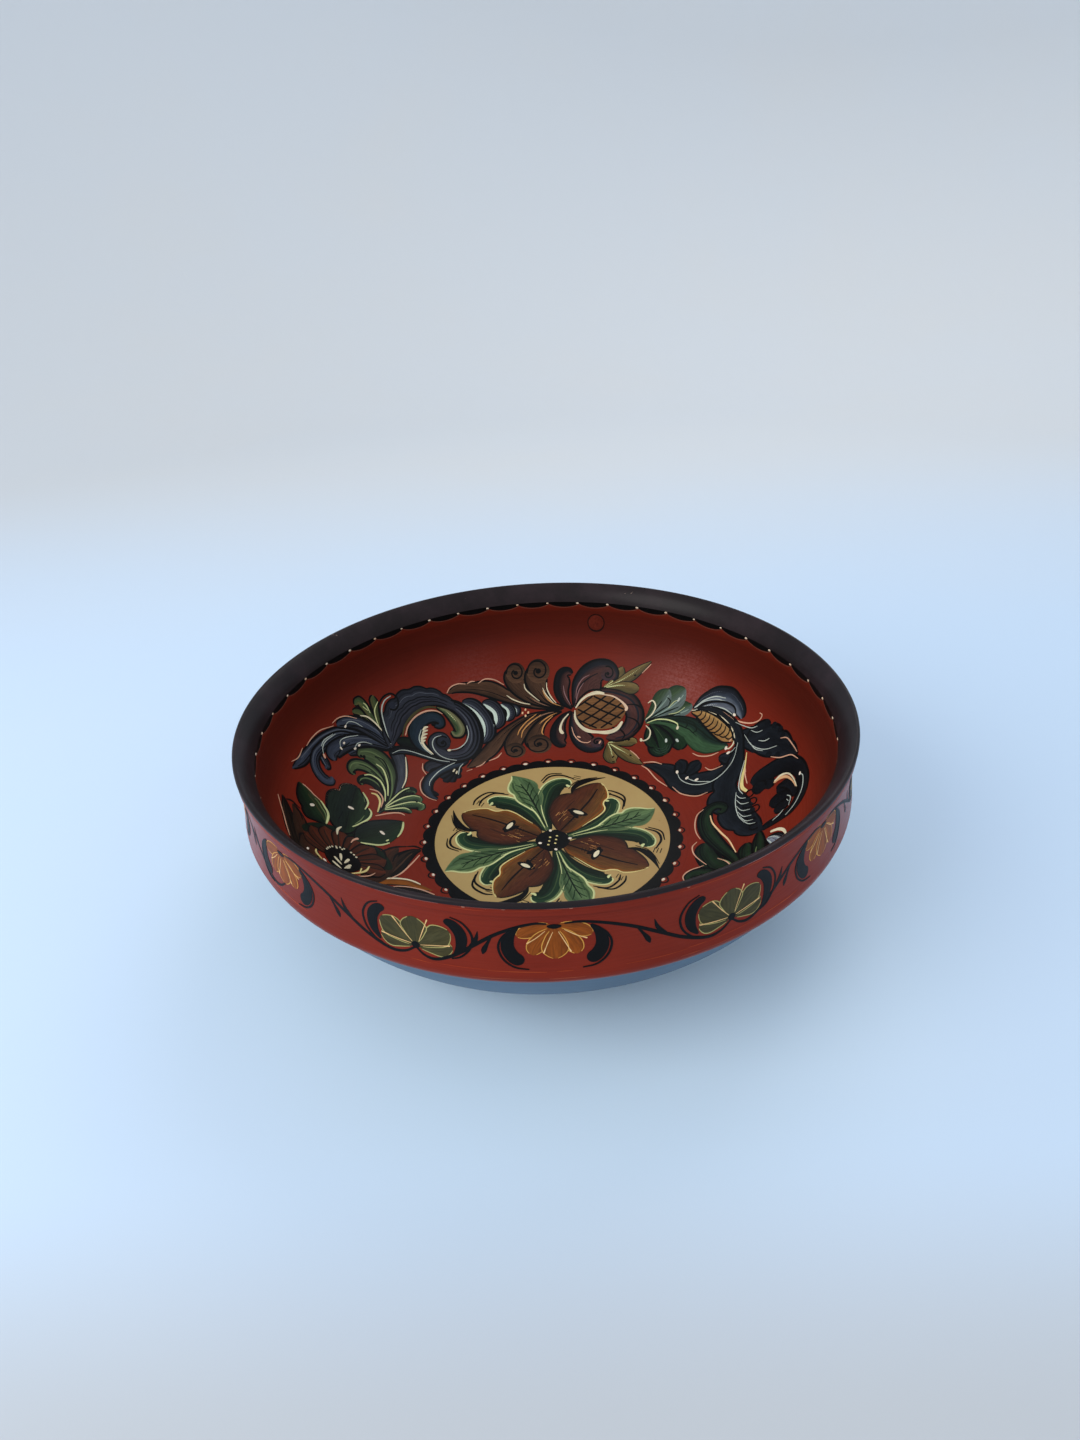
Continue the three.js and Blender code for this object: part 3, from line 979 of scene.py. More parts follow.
RAY = paint(226, 182, 122)
BAND_OLIVE = paint(66, 62, 37)
HANGING_TOP = 90.5
STANDING_FOOT = 76.0
SEEN_FLOWERS = [-127.0, -54.5, 0.0, 72.0, 130.0]
HIDDEN_FLOWERS = 10
ROUND_LENGTH = 2 * math.pi * LIP_RADIUS


def mirrored(rows):
    """The rows of a drawing reflected left to right, with their half widths swapped."""
    return [(-x, y, *wide[::-1]) for x, y, *wide in rows]


def c_strokes(hand, fat, hair):
    """Fat black C stroke with a fine line outside it, on the left and on the right."""
    for body, line in ((mirrored(fat), mirrored(hair)), (fat, hair)):
        hand.stroke(DARKS, body, BLACK)
        hand.line(DARKS, line, BLACK, 0.5)


def fan_flower(hand, petals, rays, tones, outline):
    """Rounded petals fanned from a black centre, with fine rays between them."""
    for petal_rows in petals:
        lines = [(0, outline, 0.2, 0.2, 0.97), (1, outline, 0.2, 0.2, 0.97)]
        hand.plume(PETALS, petal_rows, tones, lines)
    for ray in rays:
        hand.line(LINERS, ray, RAY, 0.18)
        (x, y), (from_x, from_y) = ray[-1], ray[-2]
        hand.stroke(LINERS, [((x + from_x) / 2, (y + from_y) / 2, 0.15), (x, y, 0.32)], RAY, over=DAB_LIFT)


def hanging_flower(x):
    """Ochre flower hanging from the vine, held between two black C strokes."""
    hand = Hand(band, (x, HANGING_TOP), level=0.04)
    wing = [(-1, 0, 1.5), (-6, -0.8, 2.6, 2.8), (-10.5, -2.4, 3.2, 3.0), (-14.2, -4.6, 1.4)]
    low = [(-1, -1, 1), (-5, -5.5, 3), (-7.6, -10, 3.4), (-8.6, -13.4, 1.8)]
    middle = [(0, -1, 1.4), (0, -6, 4), (0, -11.5, 5.2), (0, -15.2, 3)]
    rays = [
        [(-3.4, -2), (-7, -5.4), (-10.6, -8)], [(-0.6, -2.6), (-2.6, -7.6), (-4.4, -12.6)],
        [(1.4, -2.4), (4, -8), (6, -12.4)], [(3.6, -1.6), (8, -4.6), (12.2, -6.6)]]
    tones = [paint(122, 60, 16), paint(138, 70, 18), paint(128, 64, 18)]
    petals = [wing, mirrored(wing), low, mirrored(low), middle]
    fan_flower(hand, petals, rays, tones, paint(206, 148, 66))
    hand.stroke(DARKS, [(-2.8, 0.2, 0.5), (0, 0, 1.1), (2.8, 0.2, 0.5)], BLACK, over=DAB_LIFT)
    fat = [
        (13.6, -0.2, 0.6), (17, -4.4, 1.9, 2.1), (18, -10, 2.5, 2.8), (15.8, -14.6, 2.7, 3.0),
        (12, -16.8, 2.5, 2.9)]
    hair = [(16, -1.6), (19.6, -5), (21.4, -10), (19.8, -15.4), (15.6, -19), (10, -20)]
    c_strokes(hand, fat, hair)


def standing_flower(x):
    """Olive flower standing on the vine, with a black C stroke on each side."""
    hand = Hand(band, (x, STANDING_FOOT), level=0.04)
    petals = []
    for turn, reach, wide in (
        (174, 15.4, 4.2), (6, 15.4, 4.2), (146, 18, 5.4), (36, 17.6, 5.4), (92, 15, 5.8),
    ):
        a = math.radians(turn)
        along = (math.cos(a), math.sin(a) * 0.92)
        shape = ((0.08, 0.25), (0.4, 0.7), (0.72, 1), (1, 0.55))
        petals.append([(along[0] * reach * t, along[1] * reach * t, wide * w) for t, w in shape])
    rays = [
        [(-1.4, 1.4), (-5.4, 6.2), (-9.4, 11.6)], [(1.4, 2), (3.6, 8), (5.8, 13.6)],
        [(-2, 0.6), (-8, 1.2), (-15, 2.2)], [(2, 0.6), (8, 1.6), (14.4, 2.6)]]
    fan_flower(hand, petals, rays, [paint(60, 55, 30), BAND_OLIVE, paint(68, 62, 34)], paint(166, 156, 96))
    hand.stroke(DARKS, [(-1.8, 0.2, 1.1), (0, 0.2, 1.7), (1.8, 0.2, 1.1)], BLACK, over=DAB_LIFT)
    fat = [
        (12.6, 14.8, 1.5), (16, 13, 2.3, 2.1), (18.6, 8.6, 2.6, 2.3), (18.4, 3, 2.1, 1.9),
        (15.6, -1.6, 0.5)]
    hair = [(15.2, 16.8), (20, 14.4), (23.2, 8.8), (22.4, 3), (18.6, -1.6), (14.6, -3.2)]
    c_strokes(hand, fat, hair)


def vine(start, end, falling):
    """Black stem between the top of a hanging flower and the foot of a standing one."""
    side = 1 if falling else -1
    origin = start if falling else end

    def run(rows):
        return [(origin + side * t * (end - start), *rest) for t, *rest in rows]

    hand = Hand(band, level=0.05)
    drop = [
        (0.05, 91.8), (0.14, 92), (0.27, 90), (0.42, 86), (0.56, 80.6), (0.70, 75), (0.84, 71.4),
        (0.93, 72), (1, 75.2)]
    hand.line(DARKS, run(drop), BLACK, 0.8)
    upper_leaf = [(0.60, 79.6, 0.3), (0.55, 83, 0.9), (0.53, 87.4, 0.15)]
    lower_leaf = [(0.43, 85.8, 0.3), (0.47, 81.6, 0.7), (0.495, 78.6, 1.1), (0.505, 76.6, 0.2)]
    for leaf in (upper_leaf, lower_leaf):
        hand.stroke(DARKS, run(leaf), BLACK, over=FINE_LIFT)


def band_flowers():
    """Flowers hanging and standing in turn all round, with a vine from each to the next."""
    rest = np.linspace(SEEN_FLOWERS[-1], SEEN_FLOWERS[0] + ROUND_LENGTH, HIDDEN_FLOWERS + 2)[1:-1]
    places = SEEN_FLOWERS + list(rest)
    for i, (x, after) in enumerate(zip(places, places[1:] + [places[0] + ROUND_LENGTH])):
        hanging = i % 2 == 0
        flower = hanging_flower if hanging else standing_flower
        flower(x)
        vine(x, after, hanging)


def lip_face(xy):
    """Point and outward normal on the lip's upright face, x round from the front, y the height."""
    turn = xy[..., 0] / LIP_RADIUS - math.pi / 2
    ones = np.ones_like(turn)
    return on_turning(LIP_RADIUS * ones, xy[..., 1], turn, ones, 0 * ones)


def edge_wear_and_highlight_line(surface, height, wander, width, colours, share):
    """Broken pale line round the outside along an edge: painted highlight, and under the umber also paint
    worn through.
    """
    hand = Hand(surface, level=0.05)
    x = 0.0
    while x < ROUND_LENGTH:
        reach = chance.uniform(6, 30)
        if chance.random() < share:
            z = height + chance.uniform(-wander, wander)
            rows = []
            for t, w in ((0, 0.3), (0.35, 1), (0.7, 0.9), (1, 0.3)):
                y = z + chance.uniform(-0.3, 0.3) * wander
                rows.append((x + reach * t, y, width * w * chance.uniform(0.6, 1.3)))
            hand.stroke(LINERS, rows, colours[int(chance.integers(len(colours)))], crown=0.004)
        x += reach


def edge_wear_and_highlights():
    """Painted highlights along the edges: pink under the umber, also worn through there, orange along the
    lip's foot and the band's fullest part.
    """
    pinks = [paint(150, 96, 90), paint(130, 70, 60), paint(168, 118, 110)]
    oranges = [paint(150, 56, 27), paint(162, 66, 33), paint(142, 48, 25)]
    # Painted highlights along the edges where they catch the light; the pink one is also paint worn through.
    edge_wear_and_highlight_line(lip_face, HEIGHT - UMBER_DROP - 0.2, 0.15, 0.16, pinks, 0.7)
    edge_wear_and_highlight_line(lip_face, HEIGHT - 3.2, 0.5, 0.18, oranges, 0.5)
    edge_wear_and_highlight_line(band, BAND_Z + 8.0, 0.4, 0.15, oranges, 0.4)
    edge_wear_and_highlight_line(band, BAND_Z + 4.6, 0.4, 0.13, [paint(146, 54, 28), paint(152, 70, 46)], 0.4)


# Wreath round the wall, drawn in the flat millimetres of the bowl's unrolled inside

RIMS = [(0, BLACK, 0.74, 0.02, 0.98), (1, BLACK, 0.66, 0.02, 0.98)]
EYE_AT = (-111, -34)


def curled(hand, pot, colours, x, y, radius, start, turns):
    """Round end of a curled plume: a disc, with a black line winding in to a dark eye."""
    hand.stroke(pot, [(x - radius, y, radius), (x, y, radius), (x + radius, y, radius)], colours, over=0.004)
    run = []
    for t in np.linspace(0, 1, 12):
        a, reach = math.radians(start + 360 * turns * t), radius * (1 - 0.74 * t)
        run.append((x + reach * math.cos(a), y + reach * math.sin(a)))
    hand.line(DARKS, run, BLACK, 0.55, swell=False)
    hand.dab(DARKS, x, y, radius * 0.5, radius * 0.42, start, BLACK, crown=0.02)


def eyed_flower(hand):
    """Brown flower with a dotted black eye, three dark green leaves and brown leaves beside it."""
    brown = [paint(50, 33, 22), BROWN_DARK, paint(24, 18, 14), paint(20, 16, 13)]
    hand.plume(BACKS,
        [(-99, -46, 3), (-91, -39, 5), (-85, -29, 5), (-80, -18, 4), (-76, -11.5, 2.8), (-71, -8.5, 0.5)],
        brown, RIMS + [(0.4, BLACK, 0.4, 0.1, 0.9), (0.62, BROWN, 0.5, 0.2, 0.8)], ((3, 0.16), None))
    hand.plume(BACKS,
               [(-93, -44.5, 1.5), (-85, -39, 2.8), (-76, -37.3, 2.8), (-68, -40.4, 2), (-62, -42.5, 0.4)],
               [OCHRE_DARK, OCHRE, OCHRE], [(0, IVORY, 0.6, 0.2, 0.7), (1, BROWN_DARK, 0.5, 0.1, 0.9)])
    hand.plume(BACKS, [(-86, -46, 1), (-78, -43, 1.8), (-69, -43.5, 1.8), (-60, -46.5, 0.4)],
               [BROWN_DARK, NAVY], [(0, PINK, 0.45, 0.3, 0.95)])
    hand.plume(BACKS, [(-136, -50, 4), (-141, -40, 5.6), (-147, -29, 5), (-152, -21, 2.4), (-155, -18, 0.4)],
               brown, RIMS + [(0.35, BLACK, 0.6, 0.1, 0.9), (0.7, BLACK, 0.5, 0.2, 0.9)], (None, (3, 0.14)))
    dusk = [paint(78, 38, 24), paint(58, 33, 22), paint(44, 29, 21)]
    hand.plume(BACKS, [(-97, -46, 3), (-92.4, -36, 6), (-89.4, -25, 6.6), (-87, -15, 4.6), (-83.6, -8, 1)],
               dusk, RIMS[:1])
    hand.plume(BACKS,
               [(-126, -50, 4), (-132, -38, 6.6), (-137.4, -28, 6.2), (-142, -20, 4), (-147, -15, 1.2)],
               dusk[::-1], RIMS[1:])
    hand.pale(PINK, 0.62, [(-71.3, -13), (-75, -21), (-79.5, -30), (-84.5, -36)],
              [(-158, -22.5), (-151, -32), (-146, -41), (-142, -48)])
    hand.dark(BLACK, 0.62, [(-89, -10), (-84.5, -7.5), (-79, -6.2)], [(-85, -21), (-83.5, -14), (-78, -9)],
              [(-96, -11), (-91, -13), (-89, -20), (-91, -30)], [(-137, -21), (-133, -22), (-131, -26)],
              [(-147, -16), (-142, -16.5), (-138, -21)], [(-152, -17.5), (-148, -13.6), (-142, -13.4)],
              [(-79, -6.2), (-74.6, -5.6), (-70.4, -8)], [(-134, -30), (-137, -36), (-136, -43)],
              [(-88, -33), (-92, -38), (-97, -41)])
    hand.level += LEVEL_STEP
    eye_x, eye_y = EYE_AT
    shade = [(eye_x + 25.4 * math.cos(a), eye_y + 25.4 * math.sin(a), 2.6)
             for a in np.linspace(0.2, 2.95, 12)]
    hand.stroke(BACKS, shade, GREEN_NIGHT)
    for turn, reach, wide in (
        (172, 25, 6), (148, 26, 6.6), (124, 26, 6.4), (101, 26, 6), (78, 26.4, 6), (55, 26, 6.4),
        (30, 26, 6.6), (6, 24, 6),
    ):
        a = math.radians(turn)
        shape = ((8, 0.5), (14, 0.8), (reach - 4, 0.95), (reach, 0.5))
        rows = [(eye_x + math.cos(a) * r, eye_y + math.sin(a) * r, wide * w) for r, w in shape]
        hand.plume(BACKS, rows, [paint(50, 28, 19), paint(84, 38, 23), paint(60, 32, 22)],
            [(0, BLACK, 0.5, 0.1, 0.98), (1, BLACK, 0.42, 0.2, 0.98), (0.35, BROWN_DARK, 0.6, 0.1, 0.8)])
    big = [
        (-114, -9, 6, 5), (-115, -3, 9.4, 7.6), (-115.6, 3, 11.2, 9.6), (-116, 9, 12.8, 12.5),
        (-116, 14, 13.6, 14.3), (-116, 18, 12.4, 13), (-115.5, 21.5, 7.8, 9.4), (-115, 25, 8.6, 9.8),
        (-114, 29, 6.8, 5.8), (-113, 32, 2, 2)]
    night = paint(27, 37, 30)
    hand.plume(LEAVES, big, [night, night, paint(22, 32, 29), GREEN_NIGHT, paint(28, 46, 28), GREEN_DARK],
               RIMS + [(0, PINK, 0.5, 0.42, 0.97)])
    hand.pale(LIME, 0.85, [(-109.5, 30), (-107, 27), (-105, 23), (-106, 17)],
              [(-104, 19), (-102, 16.2), (-102.6, 11), (-106.5, 4.5), (-110.5, -1)])
    hand.pale(GREEN_SOFT, 0.5, [(-105.5, 12), (-107, 7), (-109.5, 2)], [(-108.5, 27), (-107, 23)])
    hand.dark(BLACK, 0.4, [(-114, 31), (-114.4, 17)], [(-114.6, 10.5), (-114, -4)], [(-118, 8), (-119, 0)])
    small = [
        (-125.4, -10, 2, 1.6), (-130, -6.6, 10, 8.4), (-135.4, -3.6, 11, 9.8), (-141, 0, 8, 8.2),
        (-146, 4, 3.6, 4.4), (-148.5, 6, 0.4, 0.4)]
    hand.plume(LEAVES, small, [GREEN_NIGHT, GREEN_NIGHT, GREEN_DARK, paint(34, 50, 29), OLIVE], [
        (0, BLACK, 0.8, 0.1, 0.97), (1, LIME, 0.75, 0.04, 0.5), (1, PINK, 0.4, 0.5, 0.9),
        (0.86, GREEN_SOFT, 0.4, 0.1, 0.6), (0.5, BLACK, 0.42, 0.1, 0.9), (0.7, OLIVE, 0.5, 0.2, 0.7)],
        ((2, 0.2), (3, 0.08)))
    side = [
        (-107, -11, 2, 2.5), (-102, -4, 7.4, 8.4), (-96, 1.6, 9.2, 10), (-90.6, 7, 7.6, 8),
        (-86.6, 11.4, 4.6, 4.6), (-83.5, 15, 0.4, 0.4)]
    hand.plume(LEAVES, side, [paint(24, 32, 33), GREEN_NIGHT, paint(27, 40, 26), GREEN_DARK], [
        (0, BLACK, 0.6, 0.1, 0.97), (1, LIME, 0.6, 0.14, 0.52), (1, LIME, 0.6, 0.62, 0.97),
        (0.5, BLACK, 0.35, 0.1, 0.8)])
    hand.dots(WHITE, 3.7, 1.8, (-114, 13.7, 0), (-136, -2.5, 50), (-93.6, 2, -40))
    hand.dots(LIME, 2.2, 1, (-90, -3.5, 50))
    hand.stroke(LINERS, [(-116.3, -5, 0.3), (-118, -9, 0.8), (-117.4, -13.5, 0.3)], IVORY, over=FINE_LIFT)
    hand.stroke(LINERS, [(-105.6, -8.8, 0.9), (-108, -11.5, 0.5), (-109, -15, 0.25)], PINK, over=FINE_LIFT)
    hand.level += 0.03
    hand.plume(DARKS,
               [(-111, -45, 4), (-111, -40, 8.4), (-111, -33, 10.5), (-111, -26.5, 8.6), (-111, -21.5, 4)],
               BLACK)
    for turn in (45, 57, 69, 94, 108, 122, 138, 150, 161, 171):
        a = math.radians(turn)
        hand.dab(DOTS, eye_x + 9.6 * math.cos(a), eye_y + 1 + 10 * math.sin(a), 1.2, 1.4, turn + 90, IVORY)
    hand.dots(IVORY, 1.2, 1.4, (-112.6, -24.4, 0), (-115.6, -25.4, 25))
    for x, y, tip_x, tip_y in (
        (-111.4, -35, -112.8, -28.6), (-109.4, -36, -107.6, -30.2), (-110.4, -38.6, -115.6, -34.2),
        (-108.6, -41, -105.8, -34.8), (-110, -42.6, -115.8, -39.4), (-107.4, -40, -106, -37),
    ):
        hand.stroke(DOTS, [(x, y, 0.25), ((x + tip_x) / 2, (y + tip_y) / 2, 0.8), (tip_x, tip_y, 0.7)],
                    IVORY, over=FINE_LIFT)
    hand.pale(YELLOW, 0.9, [(-96.3, -30), (-98, -36), (-104.5, -43)], [(-100, -34), (-100.3, -38.5)],
              [(-126, -38), (-125.2, -41.4), (-121, -44)])
    hand.pale(PINK, 0.5, [(-92.5, -34.5), (-95, -38.5), (-99.5, -42), (-104, -43.8)])
    hand.dots(WHITE, 2.4, 1.3, (-119.6, -43.2, -30), (-130.3, -44, 80))


def shaded(hand, runs, wider):
    """Dark ground a little wider than the plumes that lie on it."""
    for rows in runs:
        hand.stroke(BACKS, [(x, y, wide + wider) for x, y, wide in rows], GREEN_NIGHT)


def green_plumes(hand):
    """Green plumes curling off a blue stalk, with yellow and pink tails."""
    soft = [GREEN, paint(80, 94, 62), paint(72, 86, 56), paint(50, 64, 42)]
    hand.plume(SCROLLS, [
        (-98, 18, 0.8), (-93.5, 28, 1.6), (-91, 36, 2.4), (-89.5, 44, 3), (-89, 52, 3.4), (-90, 60, 4),
        (-93, 67, 4.6), (-98, 72, 4)], [NAVY_SOFT, paint(66, 70, 80), BLUE_GREY], RIMS)
    lobes = [
        [(-96.5, 20, 0.6), (-95.4, 27, 1.3), (-98.4, 36, 2.4), (-103.5, 40.6, 2.8), (-109, 41, 2.8),
         (-112, 38, 2.2), (-110.5, 35.5, 1.2)],
        [(-96.5, 20, 0.6), (-94.6, 30, 1.4), (-98, 42, 2.8), (-105, 48.3, 3.2), (-112, 50, 3.6),
         (-118, 47.6, 3.4), (-119.6, 43, 2.6), (-116.8, 40, 1.2)],
        [(-96.5, 20, 0.6), (-93.8, 32, 1.4), (-94, 42, 2.6), (-97, 52, 5.2), (-103, 58.6, 6.4),
         (-110, 60, 5.8), (-116, 57.6, 3.6), (-115, 54.6, 1.2)]]
    shaded(hand, lobes, 0.9)
    hand.fronds(LEAVES, soft, RIMS + [
        (0.35, BLACK, 0.5, 0.1, 0.6), (0.66, GREEN_SOFT, 0.5, 0.3, 0.85),
        (0.5, GREEN_NIGHT, 0.5, 0.2, 0.7)], *lobes)
    for tip_x, tip_y in ((-111.6, 37.4), (-117.4, 41.8), (-115.6, 55.8)):
        hand.dab(DARKS, tip_x, tip_y, 2.2, 2, 30, BLACK, crown=0.01)
    hand.pale(LIME, 0.75, [(-105.4, 55.2), (-100.4, 53), (-96.4, 44.5), (-94.6, 34)],
              [(-111, 43.4), (-107, 45.6), (-101, 44), (-97, 37.5), (-95.6, 29)])
    hand.dark(BLACK, 0.5, [(-107.4, 60.4), (-101.4, 59.8), (-96.6, 52.5), (-94, 42)])
    hand.pale(PINK, 0.7, [(-106, 34.6), (-101, 35), (-97.2, 30.5), (-97.2, 23)],
              [(-99.4, 15), (-92, 20), (-86.5, 22), (-83, 20.8)])
    hand.pale(YELLOW, 1.0, [(-104.6, 32), (-101, 32), (-98.4, 27.5), (-98.6, 18.5)])
    right = [
        [(-95, 24, 0.5), (-90, 33, 1.4), (-86, 39, 2.2), (-81.5, 42.5, 2.8), (-79, 40.5, 1.6)],
        [(-95, 23, 0.5), (-89, 30, 1.6), (-83, 34.5, 2.8), (-77.5, 36.5, 2.8), (-76, 33.4, 1.6)],
        [(-95.5, 22, 0.5), (-88, 27, 1.6), (-80, 30.5, 3), (-75, 30.3, 2.8), (-75.5, 26.4, 1.4)],
        [(-95.5, 21.4, 0.4), (-88, 24.4, 1.2), (-83, 25.4, 1.8), (-79.5, 23.4, 1)]]
    shaded(hand, right, 0.7)
    hand.fronds(LEAVES, [paint(88, 106, 74), paint(70, 90, 60), paint(40, 58, 41), GREEN_NIGHT],
        [(0.08, LIME, 0.4, 0.15, 0.8), (1, BLACK, 0.6, 0.1, 0.98), (0.5, GREEN_NIGHT, 0.4, 0.2, 0.7)],
        *right)
    for tip_x, tip_y in ((-80.4, 40.6), (-77.4, 34), (-76.6, 27.6)):
        hand.dab(DARKS, tip_x, tip_y, 1.6, 1.4, 40, BLACK, crown=0.01)
    hand.pale(IVORY, 0.65, [(-88.2, 68), (-86.6, 60), (-85.8, 51), (-87.2, 43)])


def blue_plumes(hand):
    """Blue grey plumes fanning left from a node, with white liners that end in drops."""
    cold = [NAVY_SOFT, BLUE_GREY, paint(60, 67, 82), paint(54, 60, 74), NAVY_SOFT]
    runs = [
        [(-112, 72, 1), (-125, 68, 2.4), (-134, 62.5, 3), (-141.5, 53, 3), (-146, 43, 3.2), (-149, 32, 3.4),
         (-151.5, 22, 3.2), (-155.5, 10, 0.5)],
        [(-120, 69, 1), (-132, 62, 2), (-138, 53, 3), (-142.6, 42, 3), (-144, 34, 3.2), (-141, 27, 3.8),
         (-134.5, 23.8, 3.8), (-129.6, 26, 2.8), (-129.8, 29.4, 1.4)],
        [(-141, 38, 1), (-138, 37, 2.6), (-134.6, 34.5, 2.6), (-135.4, 31.6, 1.2)],
        [(-99, 70, 1.6), (-108, 68, 2.8), (-116, 63, 3.8), (-121, 57.5, 3.8), (-124, 52.5, 1.8)],
        [(-99, 71, 2), (-110, 69.6, 3.6), (-119, 65.6, 4.4), (-126, 59.6, 4.8), (-131.4, 52, 5.2),
         (-134, 45.4, 4.8), (-131, 41.6, 2.6)],
        [(-99, 72.5, 2), (-108, 76, 4.4), (-117, 77, 5), (-125, 75.4, 4.4), (-132, 71, 3.6),
         (-137, 65.4, 2)]]
    hand.fronds(SCROLLS, cold, RIMS + [
        (0.3, BLACK, 0.42, 0.1, 0.9), (0.72, BLUE_PALE, 0.4, 0.2, 0.8), (0.52, NAVY, 0.4, 0.15, 0.8)], *runs)
    hand.dark(NAVY, 0.55, [(-101, 74), (-112, 76), (-122, 74.4), (-130, 69)],
              [(-121, 80.4), (-112, 81), (-104, 76)], [(-125, 60.4), (-129, 53), (-130, 47)])
    hand.pale(HAIR, 0.36, [(-131, 69), (-130, 73), (-125, 75.6), (-116.6, 75.6)],
              [(-130, 53), (-131.4, 57.4), (-128, 62.6), (-121, 68.6)],
              [(-121, 59), (-119.8, 63.2), (-116, 66.4), (-110.6, 67.8)],
              [(-136, 59.4), (-140.6, 50), (-141.2, 44), (-138.8, 39.6)],
              [(-137.6, 58), (-142, 49.5), (-142.4, 44)])
    hand.dots(WHITE, 2.2, 1.3, (-131, 68.8, 80), (-129.4, 52.8, -20), (-128.6, 57.6, 70), (-120.6, 58.6, 60),
              (-118.6, 62.4, 60))
    hand.dots(PINK, 3.2, 1.7, (-138.3, 39.4, -40))
    hand.pale(PINK, 0.45, [(-140.4, 64.4), (-138, 70), (-132.6, 75.6), (-125, 78.8)],
              [(-139, 63.4), (-146.6, 53.6), (-150.4, 44), (-152, 35)],
              [(-154, 31), (-154.4, 22), (-157.6, 14)])
    olive = [OLIVE, paint(88, 90, 54), GREEN, OLIVE]
    leaves = [
        [(-110, 81, 0.5), (-118, 83, 1.4), (-125, 83.6, 2.4), (-129.4, 81, 1.6)],
        [(-107, 80.5, 0.6), (-115, 85, 2.4), (-122, 89, 3.2), (-127.6, 90, 3.2), (-129.4, 86, 1.6)],
        [(-106, 80, 0.6), (-110, 86, 1.8), (-114, 92, 2.8), (-117.6, 97, 3), (-118.4, 99.6, 1.4)]]
    hand.fronds(LEAVES, olive, RIMS, *leaves)
    hand.pale(LIME, 0.6, [(-114, 97.4), (-114.6, 91), (-112, 86), (-108.4, 81.4)],
              [(-124, 91), (-121, 90.6), (-117, 87.4)], [(-123.4, 88.6), (-119, 88.2)])
    hand.pale(IVORY, 0.8, [(-103.6, 78.6), (-111, 82.6), (-118, 84), (-123.4, 82)])


